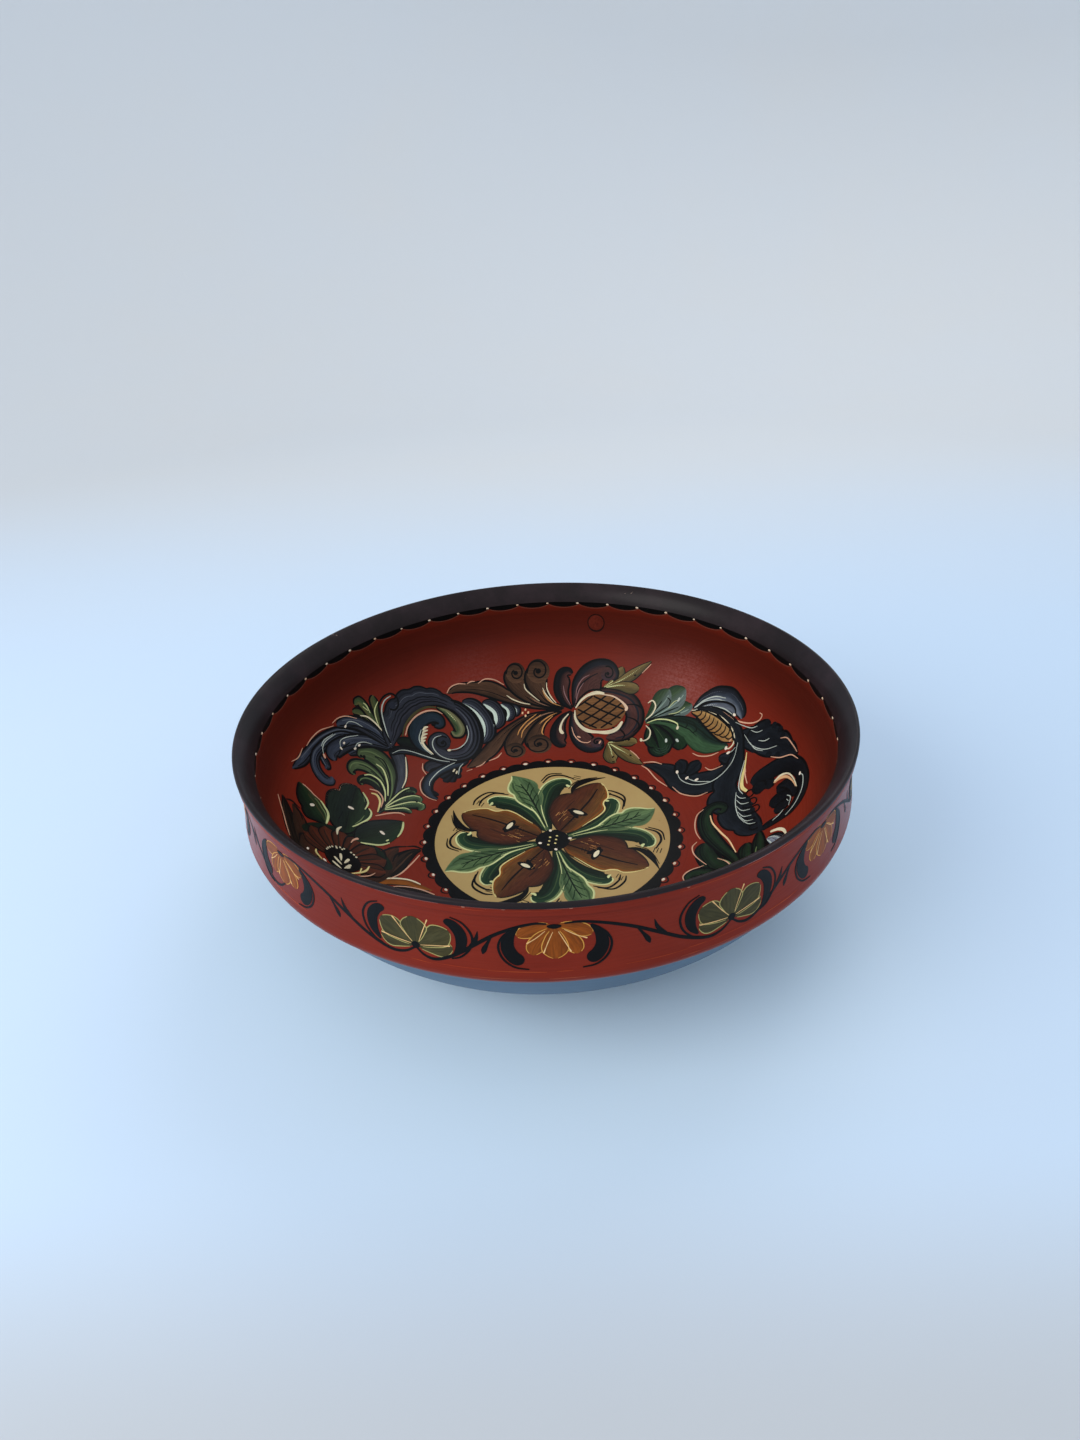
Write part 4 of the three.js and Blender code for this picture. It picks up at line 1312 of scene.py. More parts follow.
def big_scroll(hand):
    """Large blue grey scroll winding in to its eye, with leaves inside and a striped horn behind."""
    rings = [
        (2.0, [(-19.6, 111), (-17.6, 114), (-18.4, 117), (-21.8, 118.6)]),
        (3.0, [(-25, 107.4), (-22.2, 111.6), (-23.4, 116.4), (-29, 119.2)]),
        (4.2, [(-33.4, 101), (-30, 107), (-31.4, 113.6), (-36, 117.6), (-42, 118.4)]),
        (5.2, [(-41, 89), (-37.6, 96.6), (-38.4, 104.6), (-43, 111.6), (-49, 115.6), (-56, 116.6)])]
    for wide, run in rings:
        rows = [(x, y, wide * (0.4 if i in (0, len(run) - 1) else 1)) for i, (x, y) in enumerate(run)]
        lines = [
            (0.24, ICE, wide * 0.3, 0.02, 0.96), (0.5, BLUE_PALE, wide * 0.1, 0.1, 0.9),
            (0.68, BLUE_GREY, wide * 0.08, 0.1, 0.9), (0.86, BLUE_GREY, wide * 0.07, 0.2, 0.95),
            (1, BLACK, 0.6, 0.02, 0.98), (0, BLACK, 0.6, 0.02, 0.98)]
        hand.plume(SCROLLS, rows, [NAVY, NAVY_SOFT, BLUE_GREY, NAVY_SOFT, NAVY], lines)
    hand.level += 0.02
    hand.dots(paint(240, 196, 150), 1.8, 1.2, (-14.3, 113.3, 80), (-10.5, 113.6, 80), (-12.3, 115.7, 80),
              (-12.3, 111.2, 80))
    teal = [paint(20, 32, 40), paint(28, 42, 52), paint(34, 46, 58), paint(26, 38, 48)]
    hand.plume(SCROLLS, [(-66, 73, 0.8), (-76, 75.6, 2.6), (-84, 78, 4), (-91, 78.4, 3.4), (-95.4, 77, 1)],
               [NAVY, GREEN_NIGHT], RIMS, (None, (3, 0.2)))
    hand.plume(SCROLLS, [
        (-70, 75.6, 1), (-79, 79, 3.4), (-84, 85.4, 4.4), (-84, 93.4, 4.6), (-79, 100, 4),
        (-73, 102.4, 3.6), (-68.4, 100.4, 2.6), (-69.2, 97, 1.8), (-73.2, 96.6, 1.2)], teal, RIMS)
    hand.dots(BLACK, 3, 2.4, (-73.4, 97, 0))
    hand.pale(IVORY, 1.1, [(-79.4, 89), (-79.6, 83.6), (-76.6, 79), (-71, 75.2)])
    hand.pale(HAIR, 0.5, [(-81, 91), (-81.4, 84), (-78, 78.6), (-72, 74.6)])
    for y, reach in ((94.4, 3.4), (92, 3.6), (89.4, 3.6), (86.8, 3.2), (84.4, 2.8)):
        hand.stroke(DOTS, [(-80, y - 3.6, 0.3), (-78.6, y - 1.2, 0.8), (-80 + reach, y, 0.3)], IVORY,
                    over=DAB_LIFT)
    cold = [NAVY_SOFT, BLUE_GREY, BLUE_GREY, paint(54, 55, 66), NAVY_SOFT]
    hand.level += 0.02
    hand.plume(SCROLLS, [
        (-66, 113.6, 3, 2.6), (-58, 112, 4, 3.4), (-50.4, 106, 5, 4.4), (-46.2, 97, 5, 5),
        (-46.2, 88, 4.8, 5), (-50, 80, 4.6, 5), (-57, 76, 4, 4.6), (-64, 76, 3.6, 4.4), (-70, 79.6, 3.4, 4),
        (-72.6, 85, 2.8, 3.6), (-70, 90, 2, 3), (-65.6, 91, 1.4, 2), (-62.4, 87.6, 1.2, 1.4),
        (-63, 84, 0.8, 0.8)], cold, [
        (0, BLACK, 1.3, 0.01, 0.6), (0, BLACK, 0.5, 0.6, 0.98), (1, BLACK, 0.42, 0.02, 0.98),
        (0.3, NAVY, 0.7, 0.05, 0.6), (0.55, NAVY, 0.5, 0.1, 0.6), (0.7, BLUE_PALE, 0.36, 0.1, 0.5)])
    curled(hand, SCROLLS, [paint(36, 40, 50), NAVY_SOFT], -66.2, 85.2, 5.2, 60, 1.1)
    hand.plume(SCROLLS, [
        (-99, 71, 1.6, 1.6), (-100.4, 85, 8.4, 7.4), (-98, 97, 9.6, 7.6), (-91, 107.6, 9, 7.2),
        (-81, 114, 7, 6), (-70, 115.4, 5, 4.4), (-60, 112.6, 2.6, 3.4)], cold, [
        (0, BLACK, 0.55, 0.02, 0.98), (1, BLACK, 0.5, 0.02, 0.98), (0.75, NAVY, 0.5, 0.1, 0.9),
        (0.16, NAVY_SOFT, 0.6, 0.3, 0.9), (0.3, BLUE_PALE, 0.2, 0.3, 0.8), (0.5, NAVY, 0.5, 0.2, 0.9),
        (0.62, NAVY_SOFT, 0.5, 0.1, 0.8)], ((7, 0.22), None))
    curl = [
        (-99, 74), (-106, 83), (-112, 93), (-111.6, 101), (-107, 106.6), (-102, 106.6), (-99.4, 102.6),
        (-100.6, 98), (-104.4, 96.6)]
    hand.line(DARKS, curl, BLACK, 0.6, swell=False)
    hand.dots(paint(40, 44, 56), 5.4, 4.4, (-103.4, 100, 60))
    hand.pale(HAIR, 0.6, [(-98.8, 73.6), (-104.6, 83), (-109.6, 92.6), (-109.6, 100), (-106, 105.4)])
    hand.pale(OLIVE, 1.2, [(-92.4, 82), (-91.6, 91), (-87, 100.6), (-79.6, 107.4), (-70, 109.4)])
    hand.pale(PINK, 0.75,
              [(-90.6, 83.4), (-89.8, 91), (-86, 98.8), (-80, 104.4), (-73.4, 106.8), (-68, 106)])
    hand.level += LEVEL_STEP
    hand.plume(LEAVES, [
        (-73, 109.6, 0.6), (-65, 107.6, 2.6), (-58.4, 102.4, 3.8), (-55.4, 97, 3.8), (-57.6, 93, 2.6),
        (-61, 95, 1.4)], [OLIVE, paint(118, 118, 84), GREEN, OLIVE], RIMS + [(0.5, LIME, 0.3, 0.3, 0.6)])
    hand.pale(HAIR, 0.44, [(-51.4, 101), (-49.8, 95), (-51.4, 88), (-55.6, 83), (-61.4, 80.4)],
              [(-67.4, 90.6), (-71.4, 87.8), (-72.6, 83.6), (-71, 79), (-67, 75.2), (-62, 73.4), (-56, 73)])
    hand.dots(IVORY, 2.4, 1.5, (-61.4, 80.4, 20))


def scroll_stem(hand):
    """Dark stem under the big scroll and its tail curling down by the medallion."""
    hand.plume(SCROLLS, [(-57, 70.6, 2), (-66, 69, 3.4), (-72.6, 65.4, 3), (-73.4, 60.6, 1.4)],
               [BLUE_GREY, NAVY_SOFT], RIMS, ((3, 0.2), None))
    for tip_x, tip_y in ((-52.6, 63.4), (-54.6, 57.4), (-58.4, 53.6), (-62.6, 53.4), (-65.4, 57)):
        hand.plume(SCROLLS, [(-56, 69, 0.8), ((tip_x - 56.5) / 2, (tip_y + 67) / 2, 2), (tip_x, tip_y, 2)],
                   [NAVY, NAVY_SOFT, NAVY], RIMS[:1])
    hand.plume(SCROLLS, [
        (-50, 76, 3), (-54, 71.4, 3), (-60, 67.4, 3), (-67, 61.6, 3), (-71.6, 54.6, 3), (-72.4, 47, 3),
        (-69.8, 40.6, 2.4), (-65.4, 37.6, 0.6)], [NAVY, paint(48, 60, 74), NAVY], RIMS)
    hand.plume(SCROLLS, [(-70, 46, 0.6), (-67, 42.6, 1.5), (-65, 41, 0.7)], [NAVY, NAVY])
    hand.plume(SCROLLS, [
        (-98.4, 67, 1.8), (-92, 72, 2.6), (-83, 73.6, 2.4), (-72, 72.6, 2.2), (-62, 71.4, 2.2),
        (-51, 75.4, 2.4)], [NAVY, NAVY, paint(40, 46, 58)], RIMS)
    hand.pale(HAIR, 0.4, [(-96.8, 67.4), (-92, 71.8), (-85, 73.3), (-75, 72.4), (-66, 71.3), (-57, 71.6)],
              [(-54, 73.6), (-61, 68), (-67, 61.6), (-71, 53.6), (-71.4, 49)],
              [(-52, 71), (-54, 67), (-54.4, 61)])
    hand.dots(IVORY, 3, 1.1, (-57.4, 64.4, 70), (-55.6, 63, 80))
    hand.pale(PINK, 0.5, [(-77, 66.6), (-76.6, 62), (-73.8, 58)],
              [(-75.4, 56), (-77, 50), (-75.4, 43), (-71, 38.4), (-66, 36.4)])


def lattice_flower(hand):
    """Flower with a cross-hatched heart, maroon petals and brown spiral plumes."""
    brown = [BROWN_DARK, BROWN, BROWN, paint(88, 62, 45)]
    hand.plume(BACKS, [
        (14, 115, 0.5), (-2, 117, 1), (-14, 120, 2.2), (-26, 125.4, 4.8), (-38, 128.6, 5.4),
        (-50, 128, 3.6), (-60, 125.4, 2.6), (-66.4, 120.6, 0.6)], brown,
        RIMS + [(0.35, BLACK, 0.36, 0.3, 0.8)], (None, (4, 0.13)))
    hand.plume(BACKS, [
        (12, 114, 0.5), (0, 113, 1.2), (-12, 109.4, 2), (-24, 100, 3), (-31, 90.4, 4.4), (-37, 81, 4.6),
        (-43, 73.4, 3.6), (-49.6, 67.4, 0.5)], brown[::-1], RIMS + [(0.55, BLACK, 0.36, 0.2, 0.8)],
        ((5, 0.16), None))
    spirals = [
        [(13, 115.6, 0.5, 0.5), (0, 118.6, 1.2, 1.4), (-10, 122.6, 2, 5), (-18, 128.6, 3, 9),
         (-23, 134.6, 3.4, 9), (-24, 139.4, 3, 7), (-20, 142.4, 3, 5)],
        [(14, 115.8, 0.5, 0.5), (4, 119.6, 1.2, 3), (-3, 124.6, 2, 8), (-7.6, 131, 3, 12),
         (-9.4, 138, 3, 9.6), (-7, 143, 3, 6), (-3, 144.6, 3, 5)],
        [(11, 113.6, 0.4, 0.4), (0, 111.8, 2, 1.4), (-10, 107, 5, 2), (-18, 100, 7.4, 2.8),
         (-22.8, 91.5, 8, 3), (-22.6, 84.6, 6, 3), (-19.6, 82, 4, 3)],
        [(12, 113.3, 0.4, 0.4), (4, 110.6, 2, 1), (-4, 105, 5, 1.8), (-9, 97, 8.4, 2.4), (-9.8, 90, 8, 3),
         (-5, 87, 6, 3)]]
    ends = [
        (-19, 140.8, 7, 190, -1.2), (-2.6, 142, 8.2, 190, -1.2), (-19.2, 84, 6.5, 170, 1.25),
        (-3.8, 89, 7.9, 170, 1.25)]
    for i, rows in enumerate(spirals):
        light = (0.66, ORANGE, 0.4, 0.15, 0.5) if i % 2 else (0.6, paint(140, 104, 82), 0.4, 0.15, 0.5)
        hand.plume(BACKS, rows, brown if i < 2 else brown[::-1],
                   RIMS + [(0.4, BLACK, 0.45, 0.12, 0.6), light])
        curled(hand, BACKS, brown, *ends[i])
    hand.pale(IVORY, 0.55, [(-13, 133.5), (-12, 130), (-7.4, 125.6), (-2.6, 121.6)],
              [(3, 134), (3, 130), (5.2, 124.6), (8.8, 119.4)], [(0, 130.6), (2, 126), (7, 119.6)],
              [(-25.2, 125.4), (-21, 122.8), (-15, 120.6), (-9, 119.4)])
    hand.pale(ORANGE, 0.55, [(-5, 112.4), (-12, 106.6), (-16.4, 100.6), (-17.8, 96.4)],
              [(-2, 111.8), (-9.4, 106), (-14.2, 100), (-15.4, 94.4)],
              [(6, 110.6), (0.4, 105), (-1.8, 99), (-1, 96.4)])
    hand.pale(PINK, 0.55, [(-27, 132.4), (-34, 135.2), (-41, 135), (-45.6, 131.4)],
              [(-48, 132.4), (-51, 131.8), (-53.6, 129.8)],
              [(-54.4, 129.6), (-60, 128.6), (-65, 125.2), (-67, 120.6)],
              [(-28, 82), (-31, 77.6), (-36, 74.6)], [(-38, 74), (-40.6, 70.6), (-44, 68.6)],
              [(-46, 66.6), (-49.6, 64.6)])
    wine = [NAVY, NAVY_SOFT, MAROON, MAROON]
    hand.plume(PETALS, [
        (18.5, 112.6, 0.5, 0.5), (12.5, 108, 2.6, 2.4), (8, 100.5, 5.5, 3.4), (7.4, 93, 6.6, 3.6),
        (10.2, 88.5, 5, 3.4), (13.4, 87.4, 2.4, 2)], [MAROON, MAROON, NAVY, NAVY], RIMS)
    hand.plume(PETALS, [
        (19, 114.5, 0.5, 0.5), (14.5, 120, 2.5, 3.6), (12, 127, 3.6, 6), (12.4, 133.5, 3.8, 7),
        (15, 138.5, 4, 6), (19, 140.4, 2.2, 4), (21.6, 138, 1, 1.4)], [NAVY, NAVY, MAROON, MAROON],
        RIMS + [(0.45, BLACK, 0.4, 0.1, 0.7)])
    hand.plume(PETALS, [
        (33, 121, 2, 5), (42, 121.4, 3.6, 6), (51, 117.8, 4.4, 7), (58.4, 111, 5, 7), (61.6, 103, 4.6, 7),
        (59.6, 95, 4.6, 7), (54, 88.6, 3.6, 7), (46, 87, 2.6, 6), (39, 88.4, 1, 2)],
        [NAVY, MAROON, MAROON, NAVY_SOFT], RIMS + [(0.3, NAVY_SOFT, 0.7, 0.1, 0.9)], ((4, 0.08), None))
    hand.dark(BLACK, 0.55, [(44, 96), (49, 93), (51.4, 88), (49, 85)],
              [(55, 101), (60, 97), (61.6, 92), (57, 88.6)], [(56, 109.6), (62, 107.6), (66, 103), (65, 97)])
    hand.plume(PETALS, [
        (19.4, 112, 0.6, 0.5), (18.4, 104, 5, 1.6), (19.4, 95.5, 8, 3), (22.6, 87.5, 9, 3.6),
        (28, 82.8, 8.4, 4), (33.4, 83, 6, 3.6), (36, 86, 4, 2.8)], [MAROON, MAROON, MAROON, NAVY_SOFT, NAVY],
        RIMS)
    curled(hand, PETALS, [MAROON, paint(58, 44, 52)], 33.4, 86.4, 4.4, 300, 0.9)
    hand.plume(PETALS, [
        (20.6, 115, 0.5, 0.6), (21.6, 123, 1.4, 5), (25, 131.5, 3.4, 12), (31.5, 138, 4, 18),
        (40, 140, 4.4, 18), (48, 137.6, 4.4, 12), (51.4, 132, 3.4, 6), (49, 128.6, 2, 3)],
        wine + [MAROON] * 3, RIMS + [(0.4, NAVY, 0.6, 0.1, 0.6)])
    curled(hand, PETALS, [MAROON, paint(58, 44, 52)], 47, 133.6, 5, 100, -0.9)
    hand.pale(paint(140, 104, 104), 0.45, [(22.5, 121), (24, 128), (28.5, 133.6), (34, 135.6)],
              [(22, 118), (25, 126), (29, 131)], [(14.6, 131), (15.2, 125), (18.4, 117)])
    hand.pale(PINK, 0.5, [(17.8, 101), (19.2, 94), (22.6, 88.8), (27, 87), (29.4, 88.2)])
    hand.stroke(LINERS,
        [(16.6, 111, 0.3), (12.5, 106.5, 0.5), (10.4, 101, 0.8), (11, 97.6, 1.1), (12.4, 96.6, 0.9)], IVORY,
        over=FINE_LIFT)
    hand.dots(PINK, 2.6, 1, (22, 92.4, -30), (35, 86, 60))
    heart = paint(122, 84, 50)
    hand.plume(PETALS, [
        (21.4, 111.4, 3), (25, 111, 8.2), (31, 110, 11.6), (38, 108.8, 12.8), (45, 107.6, 12),
        (51, 106.8, 9), (55, 106.2, 4)], [heart, heart, paint(112, 76, 46), heart])
    lattice(hand, (38, 108.9), (16.6, 12.2), -7)
    hand.stroke(LINERS, [
        (21, 113, 0.3), (20.8, 107, 0.8), (23.4, 101, 1), (28, 96.6, 1.3), (34, 94.4, 1), (41, 92.8, 1.4),
        (47, 94, 1.3), (51.4, 98.6, 0.8)], IVORY, over=DAB_LIFT)
    hand.stroke(LINERS,
        [(21.6, 114.4, 0.4), (25.6, 119, 0.7), (31, 122, 0.9), (37, 122.6, 1.2), (42.4, 120.8, 0.8)], IVORY,
        over=DAB_LIFT)
    hand.stroke(LINERS,
        [(41, 120.6, 0.3), (48, 117.6, 0.5), (53, 112.6, 0.6), (55.6, 107.6, 1), (54.6, 105.4, 0.9)],
        paint(226, 194, 164), over=DAB_LIFT)


def lattice(hand, centre, axes, lean):
    """Crossed lines over an oval, each clipped to it."""
    turn = math.radians(lean)
    spin = np.array([[math.cos(turn), -math.sin(turn)], [math.sin(turn), math.cos(turn)]])
    for slope, apart in ((27, 5.6), (-36, 6.4)):
        a = math.radians(slope - lean)
        ahead, aside = np.array([math.cos(a), math.sin(a)]), np.array([-math.sin(a), math.cos(a)])
        for shift in np.arange(-2, 3) * apart + 1.2:
            inner, across = ahead / axes, aside * shift / axes
            square, mixed, rest = inner @ inner, inner @ across, across @ across - 1
            if mixed ** 2 > square * rest:
                reach = math.sqrt(mixed ** 2 - square * rest) / square
                ends = [aside * shift + ahead * (-mixed / square + side * reach * 0.96) for side in (-1, 1)]
                points = [tuple(np.array(centre) + spin @ (ends[0] * (1 - t) + ends[1] * t))
                          for t in (0, 0.5, 1)]
                hand.line(DARKS, points, BLACK, 0.6, swell=False)


def olive_leaves(hand):
    """Small olive leaves above and below the lattice flower."""
    olive = [paint(122, 104, 62), paint(112, 94, 54), paint(90, 76, 44), OLIVE]
    runs = [
        [(40, 84.6, 0.6), (40.6, 79, 3.4), (40.6, 73, 4.6), (41.6, 68.6, 3), (43.4, 66.8, 0.6)],
        [(40, 84.6, 0.6), (46, 83.8, 2.6), (52, 82.6, 3.6), (56.6, 81.2, 3), (58, 79.8, 0.8)],
        [(41, 83.6, 0.6), (47, 76, 3.4), (52, 70, 4), (56, 65, 2.4), (59.4, 61.6, 0.3)],
        [(42, 125, 0.5), (49, 127, 2.4), (55, 131, 3.8), (58.6, 135, 2)],
        [(42, 125, 0.5), (52, 125.6, 2.2), (62, 127.4, 3.6), (71, 129.6, 2.6), (80, 131.6, 0.3)],
        [(44, 124.8, 0.5), (54, 123, 2.8), (61, 119.6, 4), (66.6, 117.4, 2.4)]]
    hand.fronds(LEAVES, olive,
                [(0, BLACK, 0.3, 0.3, 0.98), (1, BLACK, 0.34, 0.1, 0.98), (0.4, LIME, 0.4, 0.1, 0.7)], *runs)
    hand.pale(PINK, 0.45, [(53, 75.4), (56, 71), (58, 66.4)], [(71, 126.6), (76, 128.6), (79.4, 130)])
    hand.dots(BLACK, 1.8, 1, (42, 72, 40), (41.8, 67.6, 0), (53.6, 83.6, 0), (66, 127, 0), (53, 71, -50))


def seed_spray(hand):
    """Green leaves and an ochre striped seed beside a grey plume."""
    frost = [GREEN_DARK, GREEN, paint(88, 104, 98), paint(98, 112, 108)]
    hand.fronds(LEAVES, frost, [
        (0, GREEN_DARK, 0.35, 0.3, 0.98), (0.3, GREEN_DARK, 0.4, 0.05, 0.5),
        (0.7, paint(130, 150, 140), 0.5, 0.3, 0.8)],
        [(66, 94.6, 0.8), (78, 94.4, 4), (88, 93, 5.6), (96, 91.8, 4), (99, 92.4, 1.6)],
        [(66, 95, 0.8), (76, 98, 5), (86, 101, 8), (93.6, 103, 7), (98, 104, 3)],
        [(66, 95, 0.8), (73, 99.6, 3.4), (79.4, 104, 6.4), (84.6, 107.4, 5), (87, 109, 2)])
    hand.dark(GREEN_NIGHT, 0.55, [(67, 94.4), (76, 97.4), (84, 99)], [(68, 95.4), (75, 100), (80, 103.6)],
              [(68, 94.4), (80, 95.4), (90, 95)], [(69, 94), (80, 92.6), (90, 90.4)],
              [(84, 104.6), (85.6, 101.4), (83, 98.4)])
    hand.pale(LIME, 0.34, [(83, 97.4), (87.6, 99.6), (91, 99.6)], [(82, 93.2), (88, 91.8), (94, 92.8)])
    green = [paint(44, 70, 45), paint(52, 80, 53), GREEN, GREEN_DARK]
    hand.plume(LEAVES, [(69, 92.4, 1), (78, 86, 3.4), (83, 78, 4.6), (84.6, 70, 5), (84, 65, 3.4)],
               [GREEN_DARK, GREEN_DARK, GREEN_NIGHT], RIMS)
    hand.plume(LEAVES,
        [(69, 91, 1, 1), (71.4, 85, 4, 4.6), (72.6, 77, 7.6, 7.4), (73, 70, 8.6, 8.2), (74.6, 65, 5, 5)],
        [GREEN_NIGHT, GREEN_DARK, GREEN_NIGHT],
        RIMS + [(0.34, GREEN, 0.3, 0.3, 0.8), (0.62, BLACK, 0.5, 0.2, 0.9)])
    for size in (2.6, 4.2, 5.8):
        bow = [(73 + size * math.cos(a), 72.8 + size * math.sin(a)) for a in np.linspace(-2.9, -0.2, 7)]
        hand.line(DARKS, bow, paint(44, 62, 50), 0.34)
    hand.plume(LEAVES, [(68, 90, 0.8), (66.6, 84, 2.6), (67, 78, 3.4), (69.6, 73.6, 2.4)],
               [GREEN_NIGHT, GREEN_DARK], RIMS)
    body = [
        (66, 93.4, 0.8, 0.8), (75, 90.4, 3.4, 2.4), (84, 85.6, 5, 4.4), (91.6, 78.6, 7, 7),
        (97, 70, 8, 8.4), (101, 62.6, 7.4, 8.6), (107, 56, 5, 4.6), (113, 51.6, 0.6, 0.6)]
    hand.plume(LEAVES, body,
        [GREEN_NIGHT, paint(22, 38, 33), paint(25, 42, 34), green[1], green[1], green[0]], [
        (0, BLACK, 0.45, 0.02, 0.98), (1, GREEN_DARK, 0.4, 0.3, 0.98), (0.3, GREEN_NIGHT, 0.6, 0.15, 0.9),
        (0.55, GREEN_NIGHT, 0.5, 0.2, 0.6)], (None, (4, 0.12)))
    hand.pale(LIME, 0.6, [(67, 92.6), (74, 92.6), (81, 89.4), (86, 84.4), (85.4, 81.4)])
    hand.dark(GREEN_NIGHT, 0.55, [(86, 88), (92, 84.6), (92, 80), (90, 79.4)],
              [(90, 86), (96.4, 80), (97, 74), (94, 73.4)], [(71, 90.4), (79, 85), (83.6, 77)])
    hand.pale(IVORY, 0.7, [(66.6, 95.2), (71.6, 97.6), (75, 102), (74, 106.4), (70.4, 106)],
              [(66, 91), (68, 86.4), (66.4, 81.6), (63, 80.2), (61.2, 81.4)])
    hand.dots(IVORY, 2.6, 1.7, (85.6, 81.4, 60), (61.2, 81.4, 90))
    hand.dots(HAIR, 3, 1.5, (76.6, 75.4, 80), (83.4, 72.6, -70), (91.4, 99.6, 40))
    seed = [
        (97.4, 87.4, 0.6), (103, 82, 3.2), (107.4, 74, 4.8), (111, 66, 5.2), (114, 58.6, 4.4),
        (116.4, 53, 1)]
    hand.plume(PETALS, seed, [paint(176, 138, 84), paint(160, 120, 70), paint(146, 104, 58)], RIMS)
    for i in range(9):
        t = i / 8
        x, y = 100.4 + 14.6 * t - 1.4 * math.sin(math.pi * t) + 1, 84.6 - 27 * t
        wide = 1.8 + 3.2 * math.sin(math.pi * (0.15 + 0.7 * t))
        hand.line(DARKS,
            [(x - wide, y + 1), (x - wide * 0.4, y - 1.9), (x + wide * 0.5, y - 1.5), (x + wide, y + 1.3)],
            BLACK, 0.55)
    hand.pale(PINK, 0.55, [(90.6, 59), (94, 55), (100, 51.8), (106, 51)])


def grey_plume(hand):
    """Grey white plume arching over the trunk, with hooked liners."""
    frost = [NAVY, NAVY_SOFT, paint(52, 60, 72), paint(104, 112, 124), paint(74, 82, 96)]
    hand.plume(SCROLLS, [
        (99, 89, 0.8), (108, 91, 3), (117, 88.4, 5), (124, 82.4, 6), (128, 74.6, 5), (128.6, 67, 3.8),
        (127.4, 62.6, 2)], frost, RIMS + [
        (0.45, NAVY, 0.4, 0.1, 0.8), (0.6, HAIR, 0.26, 0.05, 0.6), (0.76, HAIR, 0.22, 0.1, 0.7),
        (0.3, BLUE_PALE, 0.24, 0.2, 0.8), (0.88, NAVY, 0.3, 0.1, 0.7)], ((4, 0.1), None))
    hand.plume(SCROLLS, [(99, 88, 0.6), (110, 85, 2), (118, 79, 3), (123, 73, 2.6), (124, 68.6, 1)],
               [paint(60, 68, 80), paint(108, 114, 126), NAVY_SOFT], RIMS + [(0.4, HAIR, 0.22, 0.1, 0.8)])
    hand.pale(IVORY, 0.85, [
        (97.6, 88.6), (106, 83.4), (113, 76), (117.4, 67), (118.8, 58), (117, 51.6), (113, 49.6),
        (111, 51)])
    hand.pale(HAIR, 0.5, [(100, 89.4), (108, 90.2), (116, 88), (122.4, 82.4)],
              [(112, 83.4), (118.6, 77), (122.4, 70)], [(98.6, 88), (108, 84.6), (115, 78), (121, 69)])
    hand.pale(PINK, 0.6, [
        (100, 87.6), (110, 83.6), (118, 74), (124, 63.6), (131, 56), (137, 52.6), (140.8, 53.6),
        (140, 56.6)])
    hand.dots(WHITE, 2.6, 1.7, (111.2, 51, 60), (123.6, 68.6, -60))
    hand.dots(PINK, 2.4, 1.2, (115.4, 54.4, 30))


